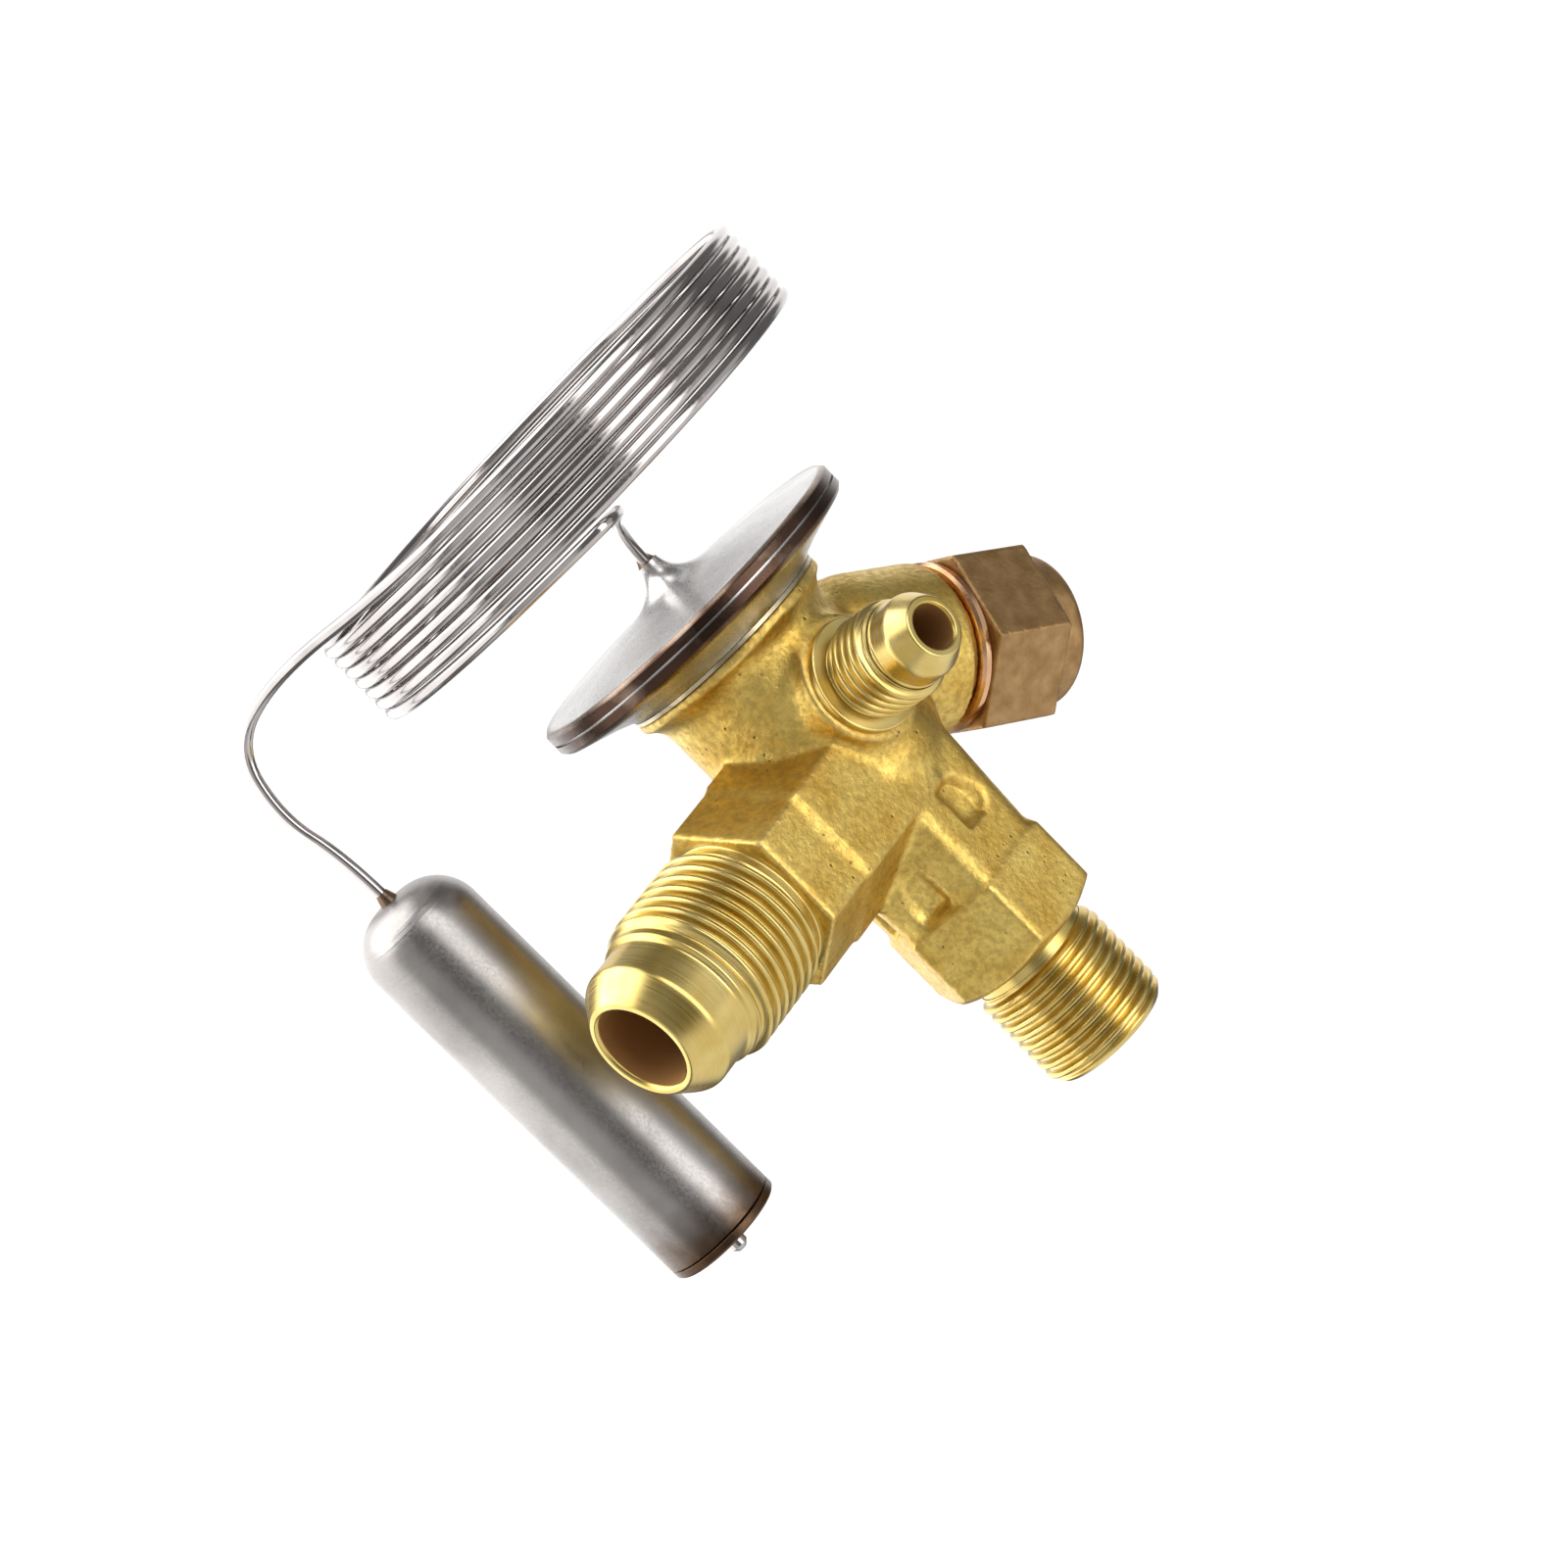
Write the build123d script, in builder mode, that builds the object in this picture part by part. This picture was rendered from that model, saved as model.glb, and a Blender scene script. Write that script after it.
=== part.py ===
from build123d import *
import os
from math import cos, pi, radians, sin, tan

# Externally equalised expansion valve with flare ends and a coiled sensing element.
# Frame: origin at the centre of the inlet hexagon's lower face, +Z up the valve axis
# to the power head, outlet towards -X, equaliser towards -Y, setting spindle towards +X.
# All sizes are in millimetres, angles in degrees.

# ---- clearances ------------------------------------------------------------------------
RUN_GAP = 0.05           # radial gap of a shaft that turns or slides in its hole
SEAT_GAP = 0.03          # gap between faces that rest on each other
SPRING_GAP = 0.1         # gap at each end of a spring
LAP = 0.5                # how far a joined form starts inside its neighbour, or a cut outside

# ---- inlet end of the forged body ------------------------------------------------------
INLET_HEX_AF = 19.0      # across flats
INLET_HEX_H = 9.5
INLET_THREAD_D = 15.875
INLET_THREAD_LEN = 12.6
INLET_CHAMFER = 1.2
TRUNK_LOW_AF = 17.6      # tapered hexagonal trunk above the inlet hexagon
TRUNK_TOP_AF = 19.4
TRUNK_TOP_Z = 26.0
TRUNK_ROUND = 2.4
TRUNK_BLEND = 3.0        # forging fillet between the trunk and the barrel
HEX_BLEND = 0.6          # forging fillet between the trunk and the inlet hexagon
POCKET_DEPTH = 1.1       # forging pockets in the trunk's flats
POCKET_W = 4.2
POCKET_H = 6.6
POCKET_Z = 16.6
POCKET_LOW_Z = 13.2
POCKET_TAPER = 28.0

# ---- outlet ----------------------------------------------------------------------------
OUTLET_Z = 26.0          # height of the outlet axis
OUTLET_HEX_AF = 19.0
OUTLET_HEX_REACH = 22.8  # front face of the hexagon, from the valve axis
OUTLET_STEP_REACH = 15.4
OUTLET_STEP = 0.3
OUTLET_THREAD_D = 19.05
OUTLET_THREAD_REACH = 36.4
OUTLET_LAND_D = 16.4
OUTLET_LAND_REACH = 40.9
OUTLET_LIP_D = 11.8
OUTLET_NOSE_REACH = 43.8
OUTLET_BORE_D = 10.0
OUTLET_BORE_END = 5.5    # blind end of the bore past the valve axis
OUTLET_RELIEF_D = 17.4
OUTLET_RELIEF_W = 1.2

# ---- barrel under the power head -------------------------------------------------------
BARREL_D = 22.2
BARREL_TAPER_Z = 25.0    # below this height the barrel tapers into the trunk
BARREL_BOTTOM_Z = 12.0
BARREL_FOOT_D = 11.0     # at the foot of the taper, hidden in the trunk
COLLAR_D = 25.4          # flared collar that the power head sits on
COLLAR_LIP_H = 1.1
COLLAR_FLARE_H = 2.6
BODY_TOP_Z = 45.6
CHAMBER_D = 17.0         # spring chamber
CHAMBER_FLOOR_Z = 33.4
GUIDE_D = 6.4            # upstand that guides the push pin and the spring seat
GUIDE_TOP_Z = 39.0

# ---- equaliser -------------------------------------------------------------------------
EQ_Z = 34.3              # height of the equaliser axis
EQ_BOSS_D = 14.2
EQ_BOSS_REACH = 11.9
EQ_BLEND = 2.0           # forging fillet between the boss and the barrel
EQ_FLANGE_D = 12.8
EQ_FLANGE_W = 0.9
EQ_RELIEF_D = 9.6
EQ_RELIEF_W = 0.9
EQ_THREAD_D = 11.1125
EQ_THREAD_REACH = 20.6
EQ_LAND_D = 9.3
EQ_LAND_REACH = 23.1
EQ_LIP_D = 6.7
EQ_NOSE_REACH = 25.5
EQ_BORE_D = 4.8
EQ_BORE_END = 12.0       # inner end of the bore, from the valve axis
EQ_BLEED_D = 1.6

# ---- setting spindle and seal cap, measured outwards along the spindle axis ------------
SPINDLE_TILT = 32.0      # degrees below the horizontal
SPINDLE_CROSS_Z = 40.0   # where the spindle axis meets the valve axis
BOSS_D = 19.4
BOSS_ROOT = 5.0          # the boss swells from its root to full size, then stays round
BOSS_ROOT_D = 11.0
BOSS_FULL = 13.0
BOSS_REACH = 21.6
BOSS_NECK_D = 17.4
BOSS_FACE = 22.9
STUB_THREAD_D = 14.0
STUB_LEN = 6.4
STUB_BORE_D = 9.0
STUB_BORE_DEPTH = 8.4
BALL_D = 3.0
BALL_REACH = 8.7         # centre of the thrust ball
SPINDLE_NOSE_D = 3.2
SPINDLE_NOSE_LEN = 4.4
SPINDLE_D = 5.0
SPINDLE_TRAVEL = 1.6     # each way from the middle setting
SPINDLE_HEAD_AF = 3.4
SPINDLE_HEAD_LEN = 1.8
SPINDLE_END = 28.7
PACKING_H = 2.2
GLAND_H = 3.3
GLAND_SLOT_W = 1.2
GLAND_SLOT_DEPTH = 1.0
CAP_WASHER_D = 19.0
CAP_WASHER_T = 1.3
CAP_HEX_AF = 19.0
CAP_TURN = 15.0          # where the screwed-on cap's corners have come to rest, in degrees
CAP_HEX_LEN = 10.5
CAP_CHAMFER = 1.0
CAP_CROWN_D = 17.4
CAP_CROWN_LEN = 4.2
CAP_CROWN_ROUND = 1.5
CAP_BORE_DEPTH = 7.6

# ---- power head ------------------------------------------------------------------------
HEAD_D = 40.6
SHELL_T = 0.9
RIM_W = 2.4              # flat rim where the two shells are welded
RIM_T = 1.35             # height of each shell's rim
RIM_ROUND = 0.45
DIAPHRAGM_T = 0.25
DIAPHRAGM_Z = 50.4       # middle of the diaphragm
NOSE_FOOT_D = 14.4
NOSE_FOOT_Z = 53.3
NOSE_TOP_Z = 57.2
NOSE_TIP_D = 2.6
FOOT_INNER_D = 18.4
FOOT_OUTER_D = 24.4
BRAZE_W = 0.45
NOSE_BRAZE_D = 2.2
NOSE_BRAZE_H = 0.8

# ---- valve train -----------------------------------------------------------------------
STROKE = 0.8
PAD_D = 27.0
PAD_T = 1.1
PAD_HUB_D = 8.0
PAD_HUB_H = 2.4
PIN_D = 2.8
PIN_SOCKET = 1.6
SEAT_D = 15.8            # superheat spring seat
SEAT_T = 1.5
SEAT_HUB_D = 8.0
SEAT_HUB_H = 2.0
SEAT_RIM_W = 0.7
SEAT_RIM_H = 0.9
SPRING_D = 12.4          # mean diameter of the superheat spring
SPRING_WIRE = 1.3
SPRING_TURNS = 4.5
ORIFICE_BORE_D = 9.2
ORIFICE_TOP_Z = 20.2
ORIFICE_LEN = 13.0
ORIFICE_CAVITY_D = 7.2
ORIFICE_WALL = 1.5
PORT_D = 3.6
CONE_D = 5.2
CONE_SKIRT = 0.8
CONE_TOP_D = 3.0
CONE_STEM_D = 2.4
CONE_STEM_LEN = 3.0
CONE_SPRING_D = 4.0
CONE_SPRING_WIRE = 0.6
CONE_SPRING_TURNS = 6.5
RETAINER_T = 1.2
RETAINER_HOLE_D = 2.4
SEAL_T = 0.6
SEAL_INNER_D = 6.8
STRAINER_RING_H = 1.6
STRAINER_LEN = 12.0
STRAINER_TOP_D = 8.0
STRAINER_TIP_D = 4.4
SCREEN_T = 0.35

# ---- capillary and bulb ----------------------------------------------------------------
TUBE_D = 1.3
TUBE_RISE_Z = 62.7       # where the tube turns outwards above the nose
COIL_D = 59.2            # mean diameter
COIL_PITCH = 1.47
COIL_START_Z = 65.3
COIL_START_AZ = 222.0
COIL_RUNS = 85           # straight runs of the coil
RUNS_PER_TURN = 12
COIL_TILT = 0.9          # rise of the coil's plane towards COIL_TILT_AZ
COIL_TILT_AZ = -38.0
COIL_ENTRY_AZ = 236.0
ENTRY_BEND = 3.0
BULB_X = -36.9
BULB_Y = 23.5
BULB_D = 14.0
BULB_T = 0.6
BULB_BOTTOM_Z = 1.6
BULB_TOP_Z = 51.4
BULB_DOME_R = 5.4
BULB_END_T = 1.2
BULB_GROOVE = 0.25
FILL_D = 2.2
FILL_LEN = 2.6
FERRULE_D = 2.2
FERRULE_LEN = 1.2


def corner(across_flats):
    """Corner radius of a hexagon of the given size across flats."""
    return across_flats / 2 / cos(pi / 6)


def save(builder, node):
    """Label a finished piece and write it under its node name."""
    builder.part.label = node
    export_step(builder.part, f"parts/{node}.step")


os.makedirs("parts", exist_ok=True)

# Planes of the side ports and of the spindle. Each plane's Z runs outwards along its axis.
outlet_plane = Plane(origin=(0, 0, OUTLET_Z), x_dir=(0, 0, 1), z_dir=(-1, 0, 0))
eq_plane = Plane(origin=(0, 0, EQ_Z), x_dir=(1, 0, 0), z_dir=(0, -1, 0))
tilt = radians(SPINDLE_TILT)
spindle_plane = Plane(
    origin=(0, 0, SPINDLE_CROSS_Z),
    x_dir=(0, 1, 0),
    z_dir=(cos(tilt), 0, -sin(tilt)),
)
spindle_profile = Plane(origin=spindle_plane.origin, x_dir=spindle_plane.z_dir, z_dir=(0, -1, 0))

# ---- forged valve body -----------------------------------------------------------------
barrel_r = BARREL_D / 2
collar_r = COLLAR_D / 2
lip_z = BODY_TOP_Z - COLLAR_LIP_H
inlet_r = INLET_THREAD_D / 2
inlet_end_z = -INLET_THREAD_LEN - INLET_CHAMFER
stub_end = BOSS_FACE + STUB_LEN
packing_low = stub_end - STUB_BORE_DEPTH
orifice_low_z = ORIFICE_TOP_Z - ORIFICE_LEN
orifice_ledge_z = ORIFICE_TOP_Z + SEAL_T

with BuildPart() as trunk:
    # tapered hexagonal trunk with rounded corners
    with BuildSketch(Plane.XY.offset(INLET_HEX_H / 2)):
        RegularPolygon(corner(TRUNK_LOW_AF), 6)
    with BuildSketch(Plane.XY.offset(TRUNK_TOP_Z)):
        RegularPolygon(corner(TRUNK_TOP_AF), 6)
    loft()
    fillet(trunk.edges().filter_by(lambda e: abs(e.tangent_at(0.5).Z) > 0.9), TRUNK_ROUND)

with BuildPart() as valve_body:
    # round barrel, flared to the collar under the power head and tapered into the trunk
    with BuildSketch(Plane.XZ):
        with BuildLine():
            Polyline(
                (barrel_r, lip_z - COLLAR_FLARE_H),
                (barrel_r, BARREL_TAPER_Z),
                (BARREL_FOOT_D / 2, BARREL_BOTTOM_Z),
                (0, BARREL_BOTTOM_Z),
                (0, BODY_TOP_Z),
                (collar_r, BODY_TOP_Z),
                (collar_r, lip_z),
            )
            Spline(
                (collar_r, lip_z),
                (barrel_r, lip_z - COLLAR_FLARE_H),
                tangents=((-1, -0.35), (0, -1)),
            )
        make_face()
    revolve(axis=Axis.Z)

    # equaliser boss, trunk and inlet hexagon, each blended in with a forging fillet
    with BuildSketch(eq_plane):
        Circle(EQ_BOSS_D / 2)
    extrude(amount=EQ_BOSS_REACH)
    fillet(valve_body.edges(Select.NEW), EQ_BLEND)
    add(trunk.part)
    fillet(valve_body.edges(Select.NEW), TRUNK_BLEND)
    with BuildSketch(Plane.XY):
        RegularPolygon(corner(INLET_HEX_AF), 6)
    extrude(amount=INLET_HEX_H)
    fillet(valve_body.edges(Select.NEW), HEX_BLEND)

    # outlet hexagon with its corners up and down, the rear part a step thicker
    with BuildSketch(outlet_plane):
        RegularPolygon(corner(OUTLET_HEX_AF), 6)
    extrude(amount=OUTLET_HEX_REACH)
    with BuildSketch(outlet_plane):
        RegularPolygon(corner(OUTLET_HEX_AF + 2 * OUTLET_STEP), 6)
    extrude(amount=OUTLET_STEP_REACH)

    # boss of the setting spindle, swelling from its root
    with BuildSketch(spindle_profile):
        with BuildLine():
            Polyline((0, BOSS_ROOT_D / 2), (0, 0), (stub_end, 0), (stub_end, STUB_THREAD_D / 2))
            Polyline(
                (stub_end, STUB_THREAD_D / 2),
                (BOSS_FACE, STUB_THREAD_D / 2),
                (BOSS_FACE, BOSS_NECK_D / 2),
                (BOSS_REACH, BOSS_NECK_D / 2),
                (BOSS_REACH, BOSS_D / 2),
                (BOSS_FULL, BOSS_D / 2),
            )
            Spline((BOSS_FULL, BOSS_D / 2), (BOSS_ROOT, BOSS_ROOT_D / 2), tangents=((-1, 0), (-1, -1)))
            Line((BOSS_ROOT, BOSS_ROOT_D / 2), (0, BOSS_ROOT_D / 2))
        make_face()
    revolve(axis=Axis(spindle_plane.origin, spindle_plane.z_dir))

    # forging pockets: one on each side flat, a lower pair beside the outlet
    for azimuth, pocket_z in ((-90, POCKET_Z), (90, POCKET_Z), (-150, POCKET_LOW_Z), (150, POCKET_LOW_Z)):
        outward = Vector(1, 0, 0).rotate(Axis.Z, azimuth)
        across = outward.rotate(Axis.Z, 90)
        pocket_plane = Plane(
            origin=outward * (TRUNK_TOP_AF / 2) + Vector(0, 0, pocket_z),
            x_dir=across,
            z_dir=outward,
        )
        with BuildSketch(pocket_plane):
            SlotOverall(POCKET_H, POCKET_W, rotation=90)
        sunk = POCKET_DEPTH + (TRUNK_TOP_AF - TRUNK_LOW_AF) / 2
        extrude(amount=-sunk, taper=POCKET_TAPER / 2, mode=Mode.SUBTRACT)

    # threaded inlet end
    with BuildSketch(Plane.XZ):
        with BuildLine():
            Polyline(
                (0, 0),
                (inlet_r, 0),
                (inlet_r, -INLET_THREAD_LEN),
                (inlet_r - INLET_CHAMFER, inlet_end_z),
                (0, inlet_end_z),
                close=True,
            )
        make_face()
    revolve(axis=Axis.Z)

    # flare ends of the outlet and the equaliser: relief, thread, land, 45 degree seat, lip
    with BuildSketch(Plane.XZ.offset(0)):
        with BuildLine():
            Polyline(
                (-OUTLET_HEX_REACH + LAP, OUTLET_Z),
                (-OUTLET_HEX_REACH + LAP, OUTLET_Z + OUTLET_RELIEF_D / 2),
                (-OUTLET_HEX_REACH - OUTLET_RELIEF_W, OUTLET_Z + OUTLET_RELIEF_D / 2),
                (-OUTLET_HEX_REACH - OUTLET_RELIEF_W, OUTLET_Z + OUTLET_THREAD_D / 2),
                (-OUTLET_THREAD_REACH + OUTLET_RELIEF_W, OUTLET_Z + OUTLET_THREAD_D / 2),
                (-OUTLET_THREAD_REACH, OUTLET_Z + OUTLET_LAND_D / 2),
                (-OUTLET_LAND_REACH, OUTLET_Z + OUTLET_LAND_D / 2),
                (-OUTLET_NOSE_REACH, OUTLET_Z + OUTLET_LIP_D / 2),
                (-OUTLET_NOSE_REACH, OUTLET_Z),
                close=True,
            )
        make_face()
    revolve(axis=Axis((0, 0, OUTLET_Z), (1, 0, 0)))
    with BuildSketch(Plane.YZ):
        with BuildLine():
            Polyline(
                (-EQ_BOSS_REACH + LAP, EQ_Z),
                (-EQ_BOSS_REACH + LAP, EQ_Z + EQ_FLANGE_D / 2),
                (-EQ_BOSS_REACH - EQ_FLANGE_W, EQ_Z + EQ_FLANGE_D / 2),
                (-EQ_BOSS_REACH - EQ_FLANGE_W, EQ_Z + EQ_RELIEF_D / 2),
                (-EQ_BOSS_REACH - EQ_FLANGE_W - EQ_RELIEF_W, EQ_Z + EQ_RELIEF_D / 2),
                (-EQ_BOSS_REACH - EQ_FLANGE_W - EQ_RELIEF_W, EQ_Z + EQ_THREAD_D / 2),
                (-EQ_THREAD_REACH + EQ_RELIEF_W, EQ_Z + EQ_THREAD_D / 2),
                (-EQ_THREAD_REACH, EQ_Z + EQ_LAND_D / 2),
                (-EQ_LAND_REACH, EQ_Z + EQ_LAND_D / 2),
                (-EQ_NOSE_REACH, EQ_Z + EQ_LIP_D / 2),
                (-EQ_NOSE_REACH, EQ_Z),
                close=True,
            )
        make_face()
    revolve(axis=Axis((0, 0, EQ_Z), (0, 1, 0)))

    # 30 degree turned chamfer under the inlet hexagon
    hex_corner = corner(INLET_HEX_AF)
    chamfer_w = (hex_corner - INLET_HEX_AF / 2) * 1.6
    with BuildSketch(Plane.XZ):
        with BuildLine():
            Polyline(
                (hex_corner - chamfer_w, 0),
                (hex_corner + LAP, 0),
                (hex_corner + LAP, (chamfer_w + LAP) * tan(pi / 6)),
                close=True,
            )
        make_face()
    revolve(axis=Axis.Z, mode=Mode.SUBTRACT)

    # inlet bore with the orifice ledge, outlet bore, spring chamber and its guide
    with BuildSketch(Plane.XZ):
        with BuildLine():
            Polyline(
                (0, inlet_end_z),
                (ORIFICE_BORE_D / 2, inlet_end_z),
                (ORIFICE_BORE_D / 2, orifice_ledge_z),
                (SEAL_INNER_D / 2, orifice_ledge_z),
                (SEAL_INNER_D / 2, OUTLET_Z),
                (0, OUTLET_Z),
                close=True,
            )
        make_face()
    revolve(axis=Axis.Z, mode=Mode.SUBTRACT)
    with BuildSketch(outlet_plane.offset(-OUTLET_BORE_END)):
        Circle(OUTLET_BORE_D / 2)
    extrude(amount=OUTLET_BORE_END + OUTLET_NOSE_REACH, mode=Mode.SUBTRACT)
    with BuildSketch(Plane.XZ):
        with BuildLine():
            Polyline(
                (GUIDE_D / 2, GUIDE_TOP_Z),
                (GUIDE_D / 2, CHAMBER_FLOOR_Z),
                (CHAMBER_D / 2, CHAMBER_FLOOR_Z),
                (CHAMBER_D / 2, BODY_TOP_Z),
                (0, BODY_TOP_Z),
                (0, GUIDE_TOP_Z),
                close=True,
            )
        make_face()
    revolve(axis=Axis.Z, mode=Mode.SUBTRACT)
    with BuildSketch(Plane.XY.offset(OUTLET_Z)):
        Circle(PIN_D / 2 + RUN_GAP)
    extrude(amount=GUIDE_TOP_Z - OUTLET_Z, mode=Mode.SUBTRACT)

    # equaliser bore and its bleed hole into the spring chamber
    with BuildSketch(eq_plane.offset(EQ_BORE_END)):
        Circle(EQ_BORE_D / 2)
    extrude(amount=EQ_NOSE_REACH - EQ_BORE_END, mode=Mode.SUBTRACT)
    bleed_plane = Plane(origin=(0, 0, CHAMBER_FLOOR_Z + EQ_BLEED_D), x_dir=(1, 0, 0), z_dir=(0, -1, 0))
    with BuildSketch(bleed_plane.offset(CHAMBER_D / 2 - EQ_BLEED_D)):
        Circle(EQ_BLEED_D / 2)
    extrude(amount=EQ_BORE_END - CHAMBER_D / 2 + 2 * EQ_BLEED_D, mode=Mode.SUBTRACT)

    # stepped spindle bore: nose, threaded length, packing box
    nose_bore_end = BALL_REACH + BALL_D / 2 + SPINDLE_NOSE_LEN - SPINDLE_TRAVEL - SPRING_GAP
    with BuildSketch(spindle_plane.offset(CHAMBER_D / 2 - SPINDLE_TRAVEL)):
        Circle(SPINDLE_NOSE_D / 2 + RUN_GAP)
    extrude(amount=nose_bore_end - CHAMBER_D / 2 + SPINDLE_TRAVEL, mode=Mode.SUBTRACT)
    with BuildSketch(spindle_plane.offset(nose_bore_end)):
        Circle(SPINDLE_D / 2 + RUN_GAP)
    extrude(amount=packing_low - nose_bore_end, mode=Mode.SUBTRACT)
    with BuildSketch(spindle_plane.offset(packing_low)):
        Circle(STUB_BORE_D / 2)
    extrude(amount=STUB_BORE_DEPTH, mode=Mode.SUBTRACT)
save(valve_body, "valve_body")

# ---- power head ------------------------------------------------------------------------
head_r = HEAD_D / 2
rim_in_r = head_r - RIM_W
upper_low_z = DIAPHRAGM_Z + DIAPHRAGM_T / 2
lower_top_z = DIAPHRAGM_Z - DIAPHRAGM_T / 2
upper_top_z = upper_low_z + RIM_T
lower_low_z = lower_top_z - RIM_T
foot_z = BODY_TOP_Z + SEAT_GAP

with BuildPart() as head_upper_shell:
    # domed plate with a flat rim, drawn up into the nose that takes the capillary
    with BuildSketch(Plane.XZ):
        with BuildLine():
            Polyline(
                (rim_in_r, upper_low_z),
                (head_r, upper_low_z),
                (head_r, upper_top_z - RIM_ROUND),
                (head_r - RIM_ROUND, upper_top_z),
                (rim_in_r + SHELL_T, upper_top_z),
            )
            Spline(
                (rim_in_r + SHELL_T, upper_top_z),
                (NOSE_FOOT_D / 2, NOSE_FOOT_Z),
                (NOSE_TIP_D / 2, NOSE_TOP_Z),
                tangents=((-1, 0.1), (-0.1, 1)),
            )
            Polyline(
                (NOSE_TIP_D / 2, NOSE_TOP_Z),
                (TUBE_D / 2 + SEAT_GAP, NOSE_TOP_Z),
                (TUBE_D / 2 + SEAT_GAP, NOSE_FOOT_Z + 2 * SHELL_T),
                (NOSE_FOOT_D / 2 - SHELL_T, NOSE_FOOT_Z - SHELL_T),
                (rim_in_r, upper_low_z),
            )
        make_face()
    revolve(axis=Axis.Z)
save(head_upper_shell, "head_upper_shell")

with BuildPart() as head_lower_shell:
    # dished shell from the rim down to its foot on the body's collar
    with BuildSketch(Plane.XZ):
        with BuildLine():
            Polyline(
                (FOOT_INNER_D / 2, foot_z),
                (FOOT_OUTER_D / 2, foot_z),
                (FOOT_OUTER_D / 2 + SHELL_T, foot_z + SHELL_T),
                (PAD_D / 2 + 2 * SHELL_T, foot_z + 2 * SHELL_T),
                (head_r - RIM_ROUND, lower_low_z),
                (head_r, lower_low_z + RIM_ROUND),
                (head_r, lower_top_z),
                (rim_in_r, lower_top_z),
                (rim_in_r, lower_low_z + SHELL_T / 2),
                (PAD_D / 2 + SHELL_T, foot_z + 3 * SHELL_T),
                (FOOT_OUTER_D / 2 - SHELL_T / 2, foot_z + 2 * SHELL_T),
                (FOOT_OUTER_D / 2 - SHELL_T, foot_z + SHELL_T),
                (FOOT_INNER_D / 2, foot_z + SHELL_T),
                close=True,
            )
        make_face()
    revolve(axis=Axis.Z)
save(head_lower_shell, "head_lower_shell")

with BuildPart() as head_braze_ring:
    with BuildSketch(Plane.XZ):
        with BuildLine():
            Polyline(
                (FOOT_OUTER_D / 2 + SEAT_GAP, foot_z),
                (FOOT_OUTER_D / 2 + SEAT_GAP + BRAZE_W, foot_z),
                (FOOT_OUTER_D / 2 + SEAT_GAP + BRAZE_W, foot_z + BRAZE_W - SEAT_GAP),
                close=True,
            )
        make_face()
    revolve(axis=Axis.Z)
save(head_braze_ring, "head_braze_ring")

with BuildPart() as diaphragm:
    with BuildSketch(Plane.XY.offset(lower_top_z)):
        Circle(head_r - RIM_ROUND)
    extrude(amount=DIAPHRAGM_T)
save(diaphragm, "diaphragm")

with BuildPart() as nose_braze:
    with BuildSketch(Plane.XZ):
        with BuildLine():
            Polyline(
                (TUBE_D / 2 + SEAT_GAP, NOSE_TOP_Z),
                (NOSE_BRAZE_D / 2, NOSE_TOP_Z),
                (TUBE_D / 2 + SEAT_GAP, NOSE_TOP_Z + NOSE_BRAZE_H),
                close=True,
            )
        make_face()
    revolve(axis=Axis.Z)
save(nose_braze, "nose_braze")

# ---- valve train: pad, push pin, cone --------------------------------------------------
pad_top_z = lower_top_z - SEAT_GAP
pad_low_z = pad_top_z - PAD_T
hub_low_z = pad_low_z - PAD_HUB_H
port_cone_z = ORIFICE_TOP_Z - ORIFICE_WALL + (CONE_D - PORT_D) / 2
cone_top_z = port_cone_z - SEAT_GAP + (PORT_D - CONE_TOP_D) / 2
cone_edge_z = cone_top_z - (CONE_D - CONE_TOP_D) / 2
cone_low_z = cone_edge_z - CONE_SKIRT

with BuildPart() as diaphragm_pad:
    with BuildSketch(Plane.XY.offset(pad_low_z)):
        Circle(PAD_D / 2)
    extrude(amount=PAD_T)
    chamfer(diaphragm_pad.edges().sort_by(Axis.Z)[0], PAD_T / 3)
    with BuildSketch(Plane.XY.offset(hub_low_z)):
        Circle(PAD_HUB_D / 2)
    extrude(amount=PAD_HUB_H)
    with BuildSketch(Plane.XY.offset(hub_low_z)):
        Circle(PIN_D / 2 + RUN_GAP)
    extrude(amount=PIN_SOCKET, mode=Mode.SUBTRACT)
save(diaphragm_pad, "diaphragm_pad")

with BuildPart() as push_pin:
    with BuildSketch(Plane.XY.offset(cone_top_z)):
        Circle(PIN_D / 2)
    extrude(amount=hub_low_z + PIN_SOCKET - cone_top_z)
    chamfer(push_pin.edges().filter_by(GeomType.CIRCLE), PIN_D / 10)
save(push_pin, "push_pin")

with BuildPart() as valve_cone:
    with BuildSketch(Plane.XZ):
        with BuildLine():
            Polyline(
                (0, cone_top_z),
                (CONE_TOP_D / 2, cone_top_z),
                (CONE_D / 2, cone_edge_z),
                (CONE_D / 2, cone_low_z),
                (CONE_STEM_D / 2, cone_low_z),
                (CONE_STEM_D / 2, cone_low_z - CONE_STEM_LEN),
                (0, cone_low_z - CONE_STEM_LEN),
                close=True,
            )
        make_face()
    revolve(axis=Axis.Z)
save(valve_cone, "valve_cone")

# ---- orifice assembly ------------------------------------------------------------------
orifice_r = ORIFICE_BORE_D / 2 - SEAT_GAP
retainer_z = orifice_low_z + SEAT_GAP

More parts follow.
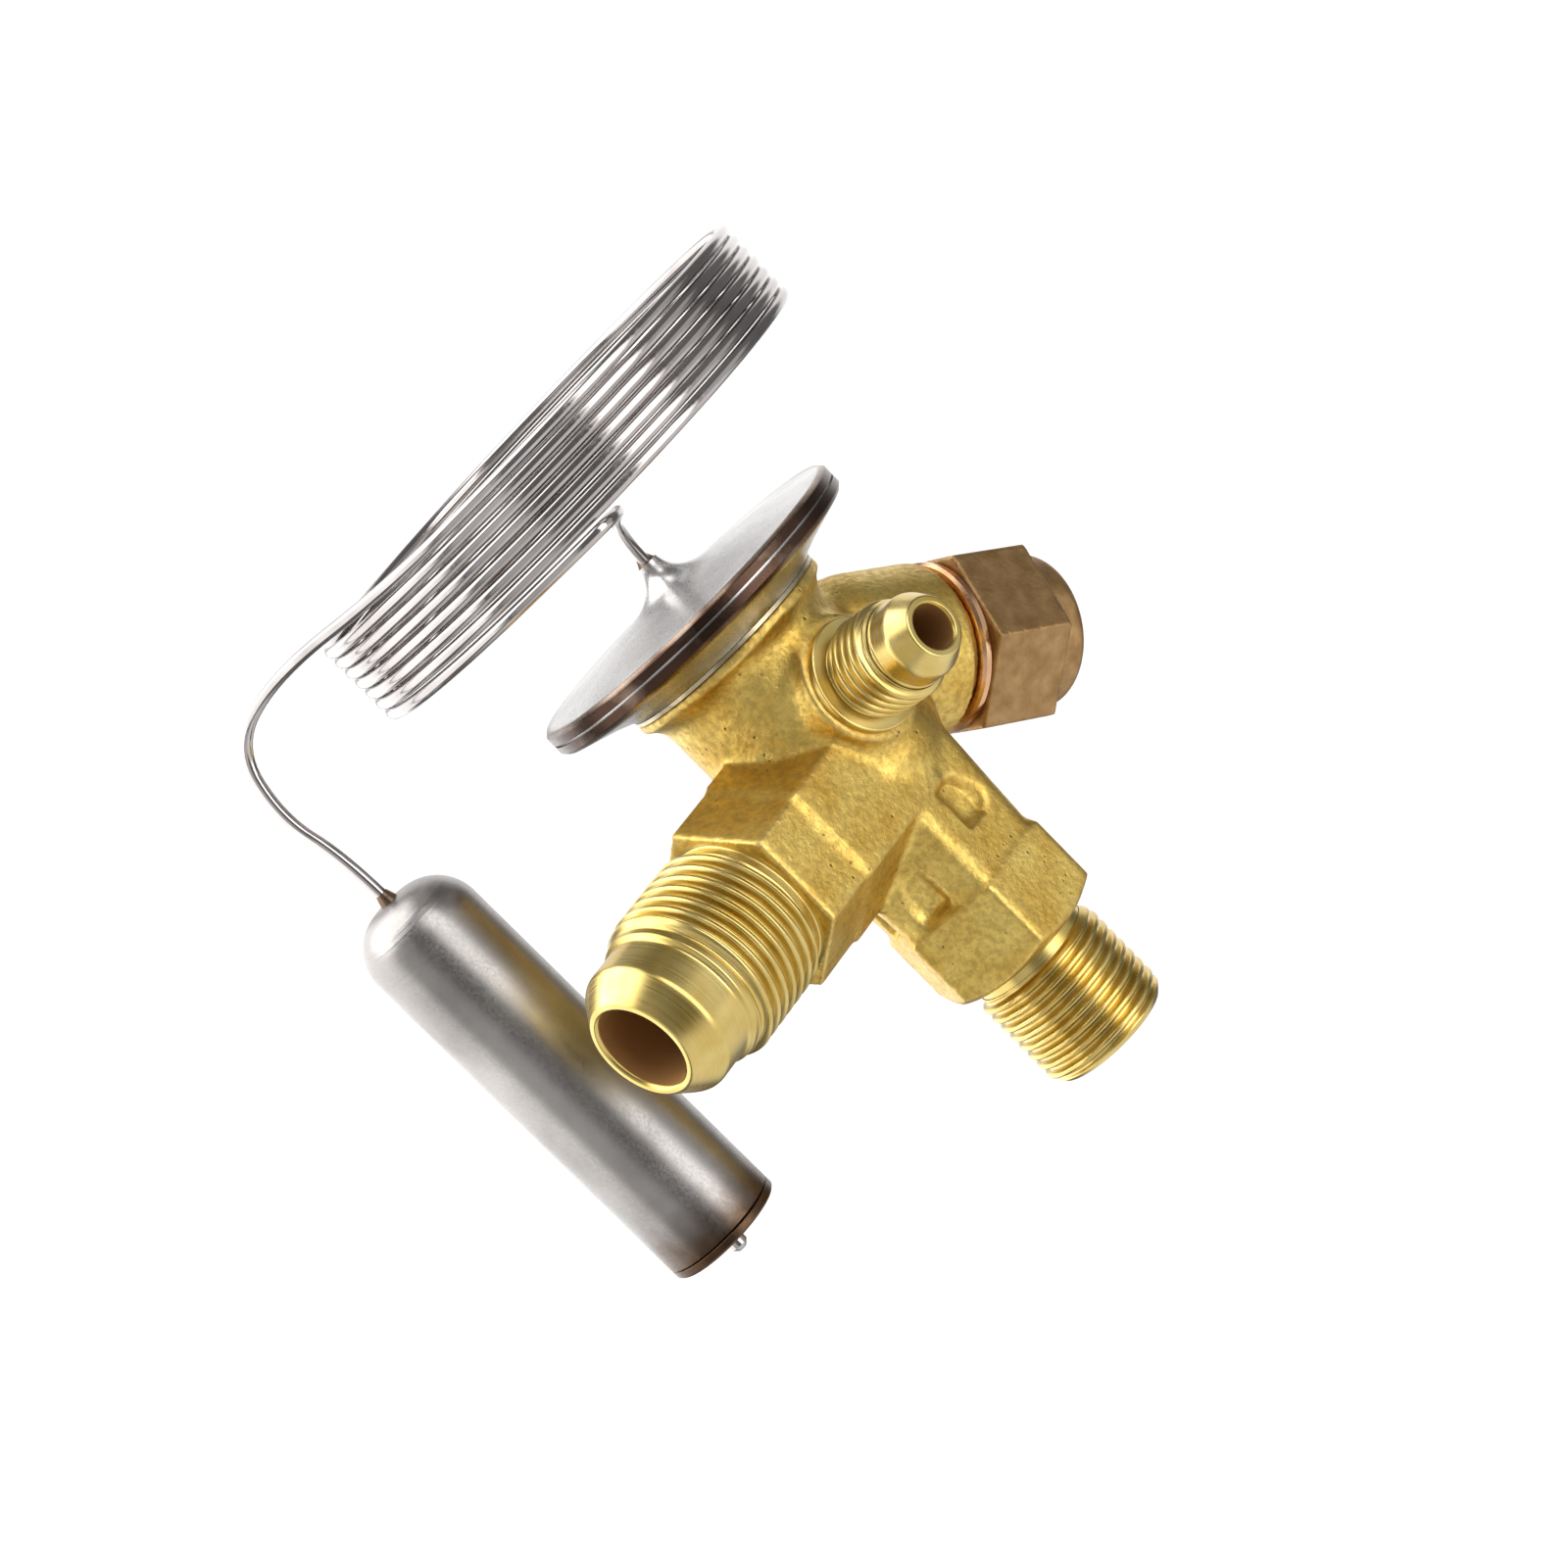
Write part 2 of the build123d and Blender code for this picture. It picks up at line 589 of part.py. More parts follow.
with BuildPart() as orifice_body:
    with BuildSketch(Plane.XZ):
        with BuildLine():
            Polyline(
                (PORT_D / 2, ORIFICE_TOP_Z),
                (orifice_r, ORIFICE_TOP_Z),
                (orifice_r, orifice_low_z),
                (ORIFICE_CAVITY_D / 2, orifice_low_z),
                (ORIFICE_CAVITY_D / 2, ORIFICE_TOP_Z - ORIFICE_WALL),
                (CONE_D / 2, ORIFICE_TOP_Z - ORIFICE_WALL),
                (PORT_D / 2, port_cone_z),
                close=True,
            )
        make_face()
    revolve(axis=Axis.Z)
save(orifice_body, "orifice_body")

with BuildPart() as orifice_seal:
    with BuildSketch(Plane.XY.offset(ORIFICE_TOP_Z + SEAT_GAP)):
        Circle(orifice_r)
        Circle(SEAL_INNER_D / 2, mode=Mode.SUBTRACT)
    extrude(amount=SEAL_T - 2 * SEAT_GAP)
save(orifice_seal, "orifice_seal")

with BuildPart() as spring_retainer:
    with BuildSketch(Plane.XY.offset(retainer_z)):
        Circle(ORIFICE_CAVITY_D / 2 - SEAT_GAP)
        Circle(RETAINER_HOLE_D / 2, mode=Mode.SUBTRACT)
    extrude(amount=RETAINER_T)
save(spring_retainer, "spring_retainer")


def coil_spring(mean_d, wire_d, turns, low_z, high_z):
    """Round-wire compression spring standing between two heights on the valve axis."""
    rise = high_z - low_z - wire_d
    helix = Helix(pitch=rise / turns, height=rise, radius=mean_d / 2, center=(0, 0, low_z + wire_d / 2))
    with BuildPart() as spring:
        with BuildSketch(Plane(origin=helix @ 0, z_dir=helix % 0)):
            Circle(wire_d / 2)
        sweep(path=helix, is_frenet=True)
    return spring


cone_spring = coil_spring(
    CONE_SPRING_D,
    CONE_SPRING_WIRE,
    CONE_SPRING_TURNS,
    retainer_z + RETAINER_T + SPRING_GAP,
    cone_low_z - SPRING_GAP,
)
save(cone_spring, "cone_spring")

strainer_top_z = orifice_low_z - SEAT_GAP
strainer_ring_z = strainer_top_z - STRAINER_RING_H
with BuildPart() as strainer_ring:
    with BuildSketch(Plane.XY.offset(strainer_ring_z)):
        Circle(orifice_r)
        Circle(STRAINER_TOP_D / 2 - SCREEN_T, mode=Mode.SUBTRACT)
    extrude(amount=STRAINER_RING_H)
save(strainer_ring, "strainer_ring")

with BuildPart() as strainer_screen:
    screen_top_z = strainer_ring_z - SEAT_GAP
    with BuildSketch(Plane.XZ):
        with BuildLine():
            Polyline(
                (STRAINER_TOP_D / 2, screen_top_z),
                (STRAINER_TIP_D / 2, screen_top_z - STRAINER_LEN),
                (0, screen_top_z - STRAINER_LEN),
                (0, screen_top_z - STRAINER_LEN + SCREEN_T),
                (STRAINER_TIP_D / 2 - SCREEN_T, screen_top_z - STRAINER_LEN + SCREEN_T),
                (STRAINER_TOP_D / 2 - SCREEN_T, screen_top_z),
                close=True,
            )
        make_face()
    revolve(axis=Axis.Z)
save(strainer_screen, "strainer_screen")

# ---- superheat setting -----------------------------------------------------------------
ball_z = SPINDLE_CROSS_Z - BALL_REACH * sin(tilt)
seat_low_z = ball_z + BALL_D / 2 + SEAT_GAP
seat_top_z = seat_low_z + SEAT_T

with BuildPart() as spring_seat:
    with BuildSketch(Plane.XZ):
        with BuildLine():
            Polyline(
                (GUIDE_D / 2 + RUN_GAP, seat_low_z - SEAT_HUB_H),
                (SEAT_HUB_D / 2, seat_low_z - SEAT_HUB_H),
                (SEAT_HUB_D / 2, seat_low_z),
                (SEAT_D / 2, seat_low_z),
                (SEAT_D / 2, seat_top_z + SEAT_RIM_H),
                (SEAT_D / 2 - SEAT_RIM_W, seat_top_z + SEAT_RIM_H),
                (SEAT_D / 2 - SEAT_RIM_W, seat_top_z),
                (GUIDE_D / 2 + RUN_GAP, seat_top_z),
                close=True,
            )
        make_face()
    revolve(axis=Axis.Z)
save(spring_seat, "spring_seat")

superheat_spring = coil_spring(
    SPRING_D,
    SPRING_WIRE,
    SPRING_TURNS,
    seat_top_z + SPRING_GAP,
    pad_low_z - SPRING_GAP,
)
save(superheat_spring, "superheat_spring")

with BuildPart() as thrust_ball:
    with Locations(spindle_plane.from_local_coords((0, 0, BALL_REACH))):
        Sphere(BALL_D / 2)
save(thrust_ball, "thrust_ball")

nose_start = BALL_REACH + BALL_D / 2 + SEAT_GAP
with BuildPart() as setting_spindle:
    with BuildSketch(spindle_plane.offset(nose_start)):
        Circle(SPINDLE_NOSE_D / 2)
    extrude(amount=SPINDLE_NOSE_LEN)
    with BuildSketch(spindle_plane.offset(nose_start + SPINDLE_NOSE_LEN)):
        Circle(SPINDLE_D / 2)
    extrude(amount=SPINDLE_END - SPINDLE_HEAD_LEN - nose_start - SPINDLE_NOSE_LEN)
    with BuildSketch(spindle_plane.offset(SPINDLE_END - SPINDLE_HEAD_LEN)):
        Rectangle(SPINDLE_HEAD_AF, SPINDLE_HEAD_AF)
    extrude(amount=SPINDLE_HEAD_LEN)
save(setting_spindle, "setting_spindle")

with BuildPart() as gland_packing:
    with BuildSketch(spindle_plane.offset(packing_low + SEAT_GAP)):
        Circle(STUB_BORE_D / 2 - SEAT_GAP)
        Circle(SPINDLE_D / 2 + RUN_GAP, mode=Mode.SUBTRACT)
    extrude(amount=PACKING_H)
save(gland_packing, "gland_packing")

gland_low = packing_low + PACKING_H + 2 * SEAT_GAP
with BuildPart() as gland_nut:
    with BuildSketch(spindle_plane.offset(gland_low)):
        Circle(STUB_BORE_D / 2 - SEAT_GAP)
        Circle(SPINDLE_D / 2 + RUN_GAP, mode=Mode.SUBTRACT)
    extrude(amount=GLAND_H)
    with BuildSketch(spindle_plane.offset(gland_low + GLAND_H - GLAND_SLOT_DEPTH)):
        Rectangle(STUB_BORE_D, GLAND_SLOT_W)
    extrude(amount=GLAND_SLOT_DEPTH, mode=Mode.SUBTRACT)
save(gland_nut, "gland_nut")

with BuildPart() as cap_washer:
    with BuildSketch(spindle_plane.offset(BOSS_FACE + SEAT_GAP)):
        Circle(CAP_WASHER_D / 2)
        Circle(STUB_THREAD_D / 2 + RUN_GAP, mode=Mode.SUBTRACT)
    extrude(amount=CAP_WASHER_T)
    chamfer(cap_washer.edges().filter_by(GeomType.CIRCLE).sort_by(SortBy.RADIUS)[-2:], CAP_WASHER_T / 4)
save(cap_washer, "cap_washer")

cap_low = BOSS_FACE + CAP_WASHER_T + 2 * SEAT_GAP
cap_hex_end = cap_low + CAP_HEX_LEN
with BuildPart() as seal_cap:
    # hexagon with turned corners, round crown, threaded bore for the stub
    with BuildSketch(spindle_plane.offset(cap_low)):
        RegularPolygon(corner(CAP_HEX_AF), 6, rotation=CAP_TURN)
    extrude(amount=CAP_HEX_LEN)
    with BuildSketch(spindle_plane.offset(cap_low)):
        Circle(corner(CAP_HEX_AF))
    extrude(amount=CAP_HEX_LEN, mode=Mode.INTERSECT)
    with BuildSketch(spindle_plane.offset(cap_hex_end)):
        Circle(CAP_CROWN_D / 2)
    extrude(amount=CAP_CROWN_LEN)
    spindle_axis = Axis(spindle_plane.origin, spindle_plane.z_dir)
    crown_rim = seal_cap.edges().filter_by(GeomType.CIRCLE).group_by(spindle_axis)
    fillet(crown_rim[-1], CAP_CROWN_ROUND)
    with BuildSketch(spindle_plane.offset(cap_low)):
        Circle(STUB_THREAD_D / 2 + RUN_GAP)
    extrude(amount=CAP_BORE_DEPTH, mode=Mode.SUBTRACT)
save(seal_cap, "seal_cap")

# ---- capillary: one tube from the nose, round the coil, down to the bulb ---------------
def coil_point(run):
    """Corner of the coil's many-sided path after the given number of runs."""
    turn = run / RUNS_PER_TURN
    azimuth = radians(COIL_START_AZ) - 2 * pi * turn
    lean = cos(azimuth - radians(COIL_TILT_AZ)) - cos(radians(COIL_START_AZ - COIL_TILT_AZ))
    corner_r = COIL_D / 2 / cos(pi / RUNS_PER_TURN)
    height = COIL_START_Z + COIL_PITCH * turn + COIL_TILT * lean
    return Vector(corner_r * cos(azimuth), corner_r * sin(azimuth), height)


def bend_radii(route, share=0.45):
    """Largest even bend radius at each corner of a route of straight runs."""
    radii = []
    for before, here, after in zip(route, route[1:], route[2:]):
        run_in = here - before
        run_out = after - here
        half_turn = radians(run_in.get_angle(run_out)) / 2
        radii.append(share * min(run_in.length, run_out.length) / tan(half_turn))
    return radii


entry = radians(COIL_ENTRY_AZ)
coil = [coil_point(run) for run in range(COIL_RUNS + 1)]
lead_in = [
    Vector(0, 0, NOSE_TOP_Z - 2 * SHELL_T),
    Vector(0, 0, TUBE_RISE_Z),
    Vector(COIL_D / 2 * cos(entry), COIL_D / 2 * sin(entry), COIL_START_Z),
]
lead_out = [
    Vector(-30.6, 17.5, 76.2),
    Vector(-34.2, 27.0, 73.6),
    Vector(-36.4, 27.4, 65.0),
    Vector(BULB_X, BULB_Y, 58.0),
    Vector(BULB_X, BULB_Y, BULB_TOP_Z - BULB_T / 2),
]
route = lead_in + coil + lead_out
radii = bend_radii(route)
radii[0] = ENTRY_BEND
radii[1] = ENTRY_BEND
print("capillary bend radii", [round(r, 1) for r in radii[:4] + radii[-7:]])

with BuildPart() as capillary_tube:
    with BuildLine() as tube_path:
        FilletPolyline(*route, radius=radii)
    with BuildSketch(Plane(origin=route[0], z_dir=(0, 0, 1))):
        Circle(TUBE_D / 2)
    sweep(path=tube_path.wires()[0])
tube_length = tube_path.wires()[0].length
print("capillary", round(tube_length, 1), "mm long, volume share",
      round(capillary_tube.part.volume / (pi * TUBE_D ** 2 / 4 * tube_length), 4))
save(capillary_tube, "capillary_tube")

# ---- sensing bulb ----------------------------------------------------------------------
bulb_plane = Plane(origin=(BULB_X, BULB_Y, 0), x_dir=(1, 0, 0), z_dir=(0, -1, 0))
bulb_axis = Axis((BULB_X, BULB_Y, 0), (0, 0, 1))
bulb_r = BULB_D / 2
shell_low_z = BULB_BOTTOM_Z + BULB_END_T + SEAT_GAP
dome_flat = bulb_r - BULB_DOME_R

with BuildPart() as bulb_shell:
    with BuildSketch(bulb_plane):
        with BuildLine():
            Line((bulb_r, shell_low_z), (bulb_r, BULB_TOP_Z - BULB_DOME_R))
            CenterArc((dome_flat, BULB_TOP_Z - BULB_DOME_R), BULB_DOME_R, 0, 90)
            Polyline(
                (dome_flat, BULB_TOP_Z),
                (TUBE_D / 2 + SEAT_GAP, BULB_TOP_Z),
                (TUBE_D / 2 + SEAT_GAP, BULB_TOP_Z - BULB_T),
                (dome_flat, BULB_TOP_Z - BULB_T),
            )
            CenterArc((dome_flat, BULB_TOP_Z - BULB_DOME_R), BULB_DOME_R - BULB_T, 90, -90)
            Polyline(
                (bulb_r - BULB_T, BULB_TOP_Z - BULB_DOME_R),
                (bulb_r - BULB_T, shell_low_z),
                (bulb_r, shell_low_z),
            )
        make_face()
    revolve(axis=bulb_axis)
save(bulb_shell, "bulb_shell")

with BuildPart() as bulb_end_cap:
    with BuildSketch(bulb_plane):
        with BuildLine():
            Polyline(
                (FILL_D / 2 + SEAT_GAP, BULB_BOTTOM_Z),
                (bulb_r - BULB_GROOVE, BULB_BOTTOM_Z),
                (bulb_r, BULB_BOTTOM_Z + BULB_GROOVE),
                (bulb_r, shell_low_z - SEAT_GAP - BULB_GROOVE),
                (bulb_r - BULB_GROOVE, shell_low_z - SEAT_GAP),
                (bulb_r - BULB_T - SEAT_GAP, shell_low_z - SEAT_GAP),
                (bulb_r - BULB_T - SEAT_GAP, shell_low_z + BULB_END_T),
                (FILL_D / 2 + SEAT_GAP, shell_low_z + BULB_END_T),
                close=True,
            )
        make_face()
    revolve(axis=bulb_axis)
save(bulb_end_cap, "bulb_end_cap")

with BuildPart() as bulb_fill_tube:
    with BuildSketch(Plane.XY.offset(BULB_BOTTOM_Z - FILL_LEN)):
        with Locations((BULB_X, BULB_Y)):
            Circle(FILL_D / 2)
    extrude(amount=FILL_LEN + BULB_END_T)
    chamfer(bulb_fill_tube.edges().sort_by(Axis.Z)[0], FILL_D / 4)
save(bulb_fill_tube, "bulb_fill_tube")

with BuildPart() as bulb_ferrule:
    with BuildSketch(bulb_plane):
        with BuildLine():
            Polyline(
                (TUBE_D / 2 + SEAT_GAP, BULB_TOP_Z),
                (FERRULE_D / 2, BULB_TOP_Z),
                (TUBE_D / 2 + 2 * SEAT_GAP, BULB_TOP_Z + FERRULE_LEN),
                (TUBE_D / 2 + SEAT_GAP, BULB_TOP_Z + FERRULE_LEN),
                close=True,
            )
        make_face()
    revolve(axis=bulb_axis)
save(bulb_ferrule, "bulb_ferrule")
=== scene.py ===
from math import cos, pi, radians, sin

import bmesh
import bpy
import numpy as np
from mathutils import Matrix, Vector


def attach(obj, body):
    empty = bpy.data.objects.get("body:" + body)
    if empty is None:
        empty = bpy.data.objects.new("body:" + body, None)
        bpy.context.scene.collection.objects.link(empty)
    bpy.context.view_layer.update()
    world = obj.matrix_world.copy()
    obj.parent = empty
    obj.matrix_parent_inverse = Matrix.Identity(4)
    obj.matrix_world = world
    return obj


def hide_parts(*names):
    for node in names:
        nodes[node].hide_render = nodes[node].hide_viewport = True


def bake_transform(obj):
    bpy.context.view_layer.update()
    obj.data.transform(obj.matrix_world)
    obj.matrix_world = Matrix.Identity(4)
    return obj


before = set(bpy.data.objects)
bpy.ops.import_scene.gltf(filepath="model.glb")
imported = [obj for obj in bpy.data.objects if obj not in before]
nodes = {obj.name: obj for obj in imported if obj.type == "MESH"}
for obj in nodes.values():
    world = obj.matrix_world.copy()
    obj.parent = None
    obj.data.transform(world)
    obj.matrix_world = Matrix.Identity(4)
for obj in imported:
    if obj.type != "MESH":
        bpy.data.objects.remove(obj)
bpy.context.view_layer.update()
MM = 0.001

# Sizes that the solids and the looks share, in millimetres. Places on an end are counted
# outwards along its own axis.
OUTLET_Z = 26.0
EQ_Z = 34.3
SPINDLE_CROSS_Z = 40.0
SPINDLE_TILT = 32.0      # degrees
HEX_FRONT = 22.8         # front face of the outlet hexagon
OUTLET_STEP = 15.4       # where the outlet hexagon gets thinner
TRUNK_LOW_AF = 17.6
TRUNK_LOW_Z = 4.75
TRUNK_TOP_AF = 19.4
TRUNK_TOP_Z = 26.0
EQ_FACE = 11.9           # face of the equaliser boss
BOSS_FACE = 22.9         # face of the spindle boss
BULB_X = -36.9
BULB_Y = 23.5

# The turned ends: radii of bore, land and thread, and the places of their faces.
OUTLET_BORE_R = 5.0
OUTLET_LAND_R = 8.2
OUTLET_THREAD_R = 9.525
OUTLET_CONE = 40.9       # foot of the flare cone
OUTLET_NOSE = 43.8
INLET_BORE_R = 4.6
INLET_ROOT_R = 7.0
INLET_THREAD_R = 7.9375
INLET_FACE = 13.8
EQ_BORE_R = 2.4
EQ_LAND_R = 4.65
EQ_ROOT_R = 4.72
EQ_THREAD_R = 5.55625
EQ_CONE = 23.1
EQ_NOSE = 25.5
STUB_BORE_R = 4.5
STUB_ROOT_R = 6.1
STUB_THREAD_R = 7.0
STUB_FACE = 29.3

# How finely the forgings are skinned.
BODY_VOXEL = 0.33
CAP_VOXEL = 0.24


# ---- small tools -----------------------------------------------------------------------

def linear(hex_colour):
    """An sRGB hex colour as the linear RGBA that shaders work in."""
    channels = [int(hex_colour[i:i + 2], 16) / 255 for i in (1, 3, 5)]
    return [c / 12.92 if c <= 0.04045 else ((c + 0.055) / 1.055) ** 2.4 for c in channels] + [1.0]


def connect(tree, node, sockets):
    """Gives each input of a node a value, or links another node's output to it."""
    for key, value in sockets.items():
        if isinstance(value, bpy.types.NodeSocket):
            tree.links.new(value, node.inputs[key])
        else:
            node.inputs[key].default_value = value


def add(tree, kind, sockets=None, **settings):
    """Adds a node with its settings and the values or links of its inputs."""
    node = tree.nodes.new(kind)
    for name, value in settings.items():
        setattr(node, name, value)
    connect(tree, node, sockets or {})
    return node


def calc(tree, operation, *values):
    """The result of a Math node."""
    return add(tree, "ShaderNodeMath", dict(enumerate(values)), operation=operation).outputs[0]


def ranged(tree, value, low, high, to_low=0.0, to_high=1.0, curve="LINEAR"):
    """A value from low to high, spread over another range and held at its ends."""
    sockets = {"Value": value, "From Min": low, "From Max": high, "To Min": to_low, "To Max": to_high}
    return add(tree, "ShaderNodeMapRange", sockets, interpolation_type=curve).outputs["Result"]


def new_piece(name, mesh, material, body, stands_for=()):
    """A finished mesh as a piece that rides on a CAD body, where one is given."""
    mesh.name = name
    mesh.materials.clear()
    mesh.materials.append(material)
    piece = linked(name, mesh)
    if body:
        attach(piece, body)
    if stands_for:
        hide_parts(*stands_for)
    return piece


def smooth_with_edges(mesh, degrees):
    """Smooth shading that still breaks at edges sharper than the given angle."""
    mesh.shade_smooth()
    mesh.set_sharp_from_angle(angle=radians(degrees))


def merged(node_name):
    """A copy of a CAD node's mesh with its loose triangles merged, in a bmesh."""
    shape = bmesh.new()
    shape.from_mesh(nodes[node_name].data)
    bmesh.ops.remove_doubles(shape, verts=shape.verts, dist=2e-6)
    return shape


def evaluated_mesh(blank):
    """The mesh that an object's modifiers or curve make. The object itself is removed."""
    mesh = bpy.data.meshes.new_from_object(blank.evaluated_get(bpy.context.evaluated_depsgraph_get()))
    bpy.data.objects.remove(blank)
    return mesh


def linked(name, data):
    """A new object with its data, in the scene."""
    thing = bpy.data.objects.new(name, data)
    bpy.context.scene.collection.objects.link(thing)
    return thing


def point_values(mesh, name, values):
    """Stores one number for each point of a mesh, for its material to read."""
    mesh.attributes.new(name, "FLOAT", "POINT").data.foreach_set("value", values)


def axis_frame(origin_mm, direction):
    """The matrix that takes local +Z to a direction and the local origin to a point."""
    turn = Vector((0, 0, 1)).rotation_difference(Vector(direction)).to_matrix().to_4x4()
    return Matrix.Translation(Vector(origin_mm) * MM) @ turn


INLET = axis_frame((0, 0, 0), (0, 0, -1))
OUTLET = axis_frame((0, 0, OUTLET_Z), (-1, 0, 0))
EQUALISER = axis_frame((0, 0, EQ_Z), (0, -1, 0))
SPINDLE = axis_frame(
    (0, 0, SPINDLE_CROSS_Z),
    (cos(radians(SPINDLE_TILT)), 0, -sin(radians(SPINDLE_TILT))),
)


def rounded(profile):
    """Points round a closed turned profile of (radius, along, rounding) corners, which become arcs."""
    points = []
    for i, (radius, along, rounding) in enumerate(profile):
        here = Vector((radius, along))
        before = Vector(profile[i - 1][:2]) - here
        after = Vector(profile[(i + 1) % len(profile)][:2]) - here
        if rounding <= 0:
            points.append(here)
            continue
        reach = min(rounding, 0.45 * before.length, 0.45 * after.length)
        start = here + before.normalized() * reach
        end = here + after.normalized() * reach
        for step in range(5):
            t = step / 4
            points.append(start * (1 - t) ** 2 + here * 2 * t * (1 - t) + end * t * t)
    return points


def turned(profile, placed, around=128):
    """A turned mesh from a closed profile in millimetres. The profile starts on the bore."""
    shape = bmesh.new()
    rings = []
    for point in rounded(profile):
        ring = []
        for k in range(around):
            angle = 2 * pi * k / around
            ring.append(shape.verts.new((point.x * MM * cos(angle), point.x * MM * sin(angle), point.y * MM)))
        rings.append(ring)
    for ring, following in zip(rings, rings[1:] + rings[:1]):
        for k in range(around):
            n = (k + 1) % around
            shape.faces.new((ring[k], ring[n], following[n], following[k]))
    bmesh.ops.recalc_face_normals(shape, faces=shape.faces)
    mesh = bpy.data.meshes.new("turned")
    shape.to_mesh(mesh)
    shape.free()
    bore_r = (profile[0][0] + 0.02) * MM
    point_values(mesh, "along", [v.co.z / MM for v in mesh.vertices])
    # marks the bore's points, which the turned brass paints darker and redder as painted shade and painted
    # reflection of the cavity
    point_values(mesh, "bore", [float(v.co.xy.length < bore_r) for v in mesh.vertices])
    mesh.transform(placed)
    smooth_with_edges(mesh, 35)
    return mesh


# ---- materials -------------------------------------------------------------------------

def start_material(name, metallic=1.0):
    """A new material with its node tree, its shader and the coordinates that its patterns use."""
    material = bpy.data.materials.new(name)
    material.use_nodes = True
    tree = material.node_tree
    shader = tree.nodes["Principled BSDF"]
    shader.inputs["Metallic"].default_value = metallic
    return material, tree, shader, add(tree, "ShaderNodeTexCoord").outputs["Object"]


def noise(tree, place, size_mm, detail, **sockets):
    """Soft noise whose spots have a real size in millimetres."""
    sockets = {"Vector": place, "Scale": 1 / (size_mm * MM), "Detail": detail, **sockets}
    return add(tree, "ShaderNodeTexNoise", sockets).outputs["Fac"]


def streaks(tree, along, spacing, detail):
    """Noise that changes along one direction only. Along and spacing share a unit."""
    sockets = {"W": along, "Scale": 1 / spacing, "Detail": detail}
    return add(tree, "ShaderNodeTexNoise", sockets, noise_dimensions="1D").outputs["Fac"]


def ramped(tree, value, *stops):
    """A colour that runs through (position, sRGB hex) stops, from low to high."""
    node = add(tree, "ShaderNodeValToRGB", {"Fac": value})
    elements = node.color_ramp.elements
    while len(elements) < len(stops):
        elements.new(0.5)
    for element, (position, colour) in zip(elements, stops):
        element.position = position
        element.color = linear(colour)
    return node.outputs["Color"]


def blended(tree, factor, a, b, how="MIX"):
    """A colour between a and b."""
    sockets = {"Factor": factor, "A": a, "B": b}
    return add(tree, "ShaderNodeMix", sockets, data_type="RGBA", blend_type=how).outputs["Result"]


def relief(tree, height, strength, depth_mm, under=None):
    """A bump of a real depth in millimetres, laid over another one where that is given."""
    sockets = {"Height": height, "Strength": strength, "Distance": depth_mm * MM}
    if under is not None:
        sockets["Normal"] = under
    return add(tree, "ShaderNodeBump", sockets).outputs["Normal"]


def stored(tree, name):
    """A number that the mesh stores for each point."""
    return add(tree, "ShaderNodeAttribute", attribute_name=name).outputs["Fac"]


def forged_brass():
    """Hot-forged brass, shot blasted: a matte pale gold, mottled and dimpled, with a few scale pits."""
    material, tree, shader, place = start_material("forged_brass_shot_blasted")
    gold = ramped(tree, noise(tree, place, 5, 4.0), (0.32, "#CEA951"), (0.68, "#E1C56F"))
    mottle = noise(tree, place, 0.8, 3.0, Roughness=0.65)
    speckle = ranged(tree, mottle, 0.38, 0.6, 0.78, 1.06)
    speckled = add(tree, "ShaderNodeVectorMath", {0: gold, "Scale": speckle}, operation="SCALE").outputs[0]
    rub = calc(tree, "MULTIPLY", stored(tree, "edge_wear"), 0.2)
    rubbed = blended(tree, rub, speckled, linear("#E3C58C"))

    sockets = {"Vector": place, "Scale": 1 / (1.3 * MM), "Randomness": 1.0}
    from_pit = add(tree, "ShaderNodeTexVoronoi", sockets).outputs["Distance"]
    pit = ranged(tree, from_pit, 0.05, 0.17, 1.0, 0.0)
    where = ranged(tree, noise(tree, place, 6, 1.0), 0.52, 0.6)
    pitted = calc(tree, "MULTIPLY", pit, where)

    sand = relief(tree, noise(tree, place, 0.3, 2.0), 0.3, 0.05)
    dimples = relief(tree, mottle, 0.6, 0.15, sand)
    dents = relief(tree, pitted, 0.6, -0.12, dimples)
    step = relief(tree, stored(tree, "step_line"), 0.3, -0.1, dents)
    connect(tree, shader, {
        "Base Color": blended(tree, pitted, rubbed, linear("#6E5226")),
        "Roughness": ranged(tree, mottle, 0.3, 0.7, 0.54, 0.4),
        "Normal": step,
    })
    return material


def turned_brass():
    """Free-cutting brass off the lathe: bright yellow, with fine turning marks. Its bore is rougher, and is
    painted darker and redder as painted shade and painted reflection of the cavity.
    """
    material, tree, shader, place = start_material("turned_brass_bright")
    marks = streaks(tree, stored(tree, "along"), 0.16, 2.0)
    tone = ramped(tree, noise(tree, place, 4, 2.0), (0.3, "#C6AA5C"), (0.75, "#DCC683"))
    # the bore mask: there the colour is darker and redder, painted shade and painted reflection of the
    # cavity, and the higher roughness is its duller finish
    bore = stored(tree, "bore")
    bright = ranged(tree, marks, 0.3, 0.7, 0.24, 0.34)
    connect(tree, shader, {
        "Base Color": blended(tree, bore, tone, linear("#BB925E")),
        "Roughness": add(tree, "ShaderNodeMix", {"Factor": bore, "A": bright, "B": 0.8}).outputs["Result"],
        "Normal": relief(tree, marks, 0.08, 0.02),
    })
    return material


def grained_metal(name, dark, light, grain_mm, roughness, bump_mm, cloud_mm=5.0):
    """A metal with a cloudy tone and a fine grain in its finish."""
    material, tree, shader, place = start_material(name)
    grain = noise(tree, place, grain_mm, 2.0)
    connect(tree, shader, {
        "Base Color": ramped(tree, noise(tree, place, cloud_mm, 4.0), (0.32, dark), (0.7, light)),
        "Roughness": ranged(tree, grain, 0.3, 0.7, roughness - 0.06, roughness + 0.06),
        "Normal": relief(tree, grain, 0.3, bump_mm),
    })
    return material


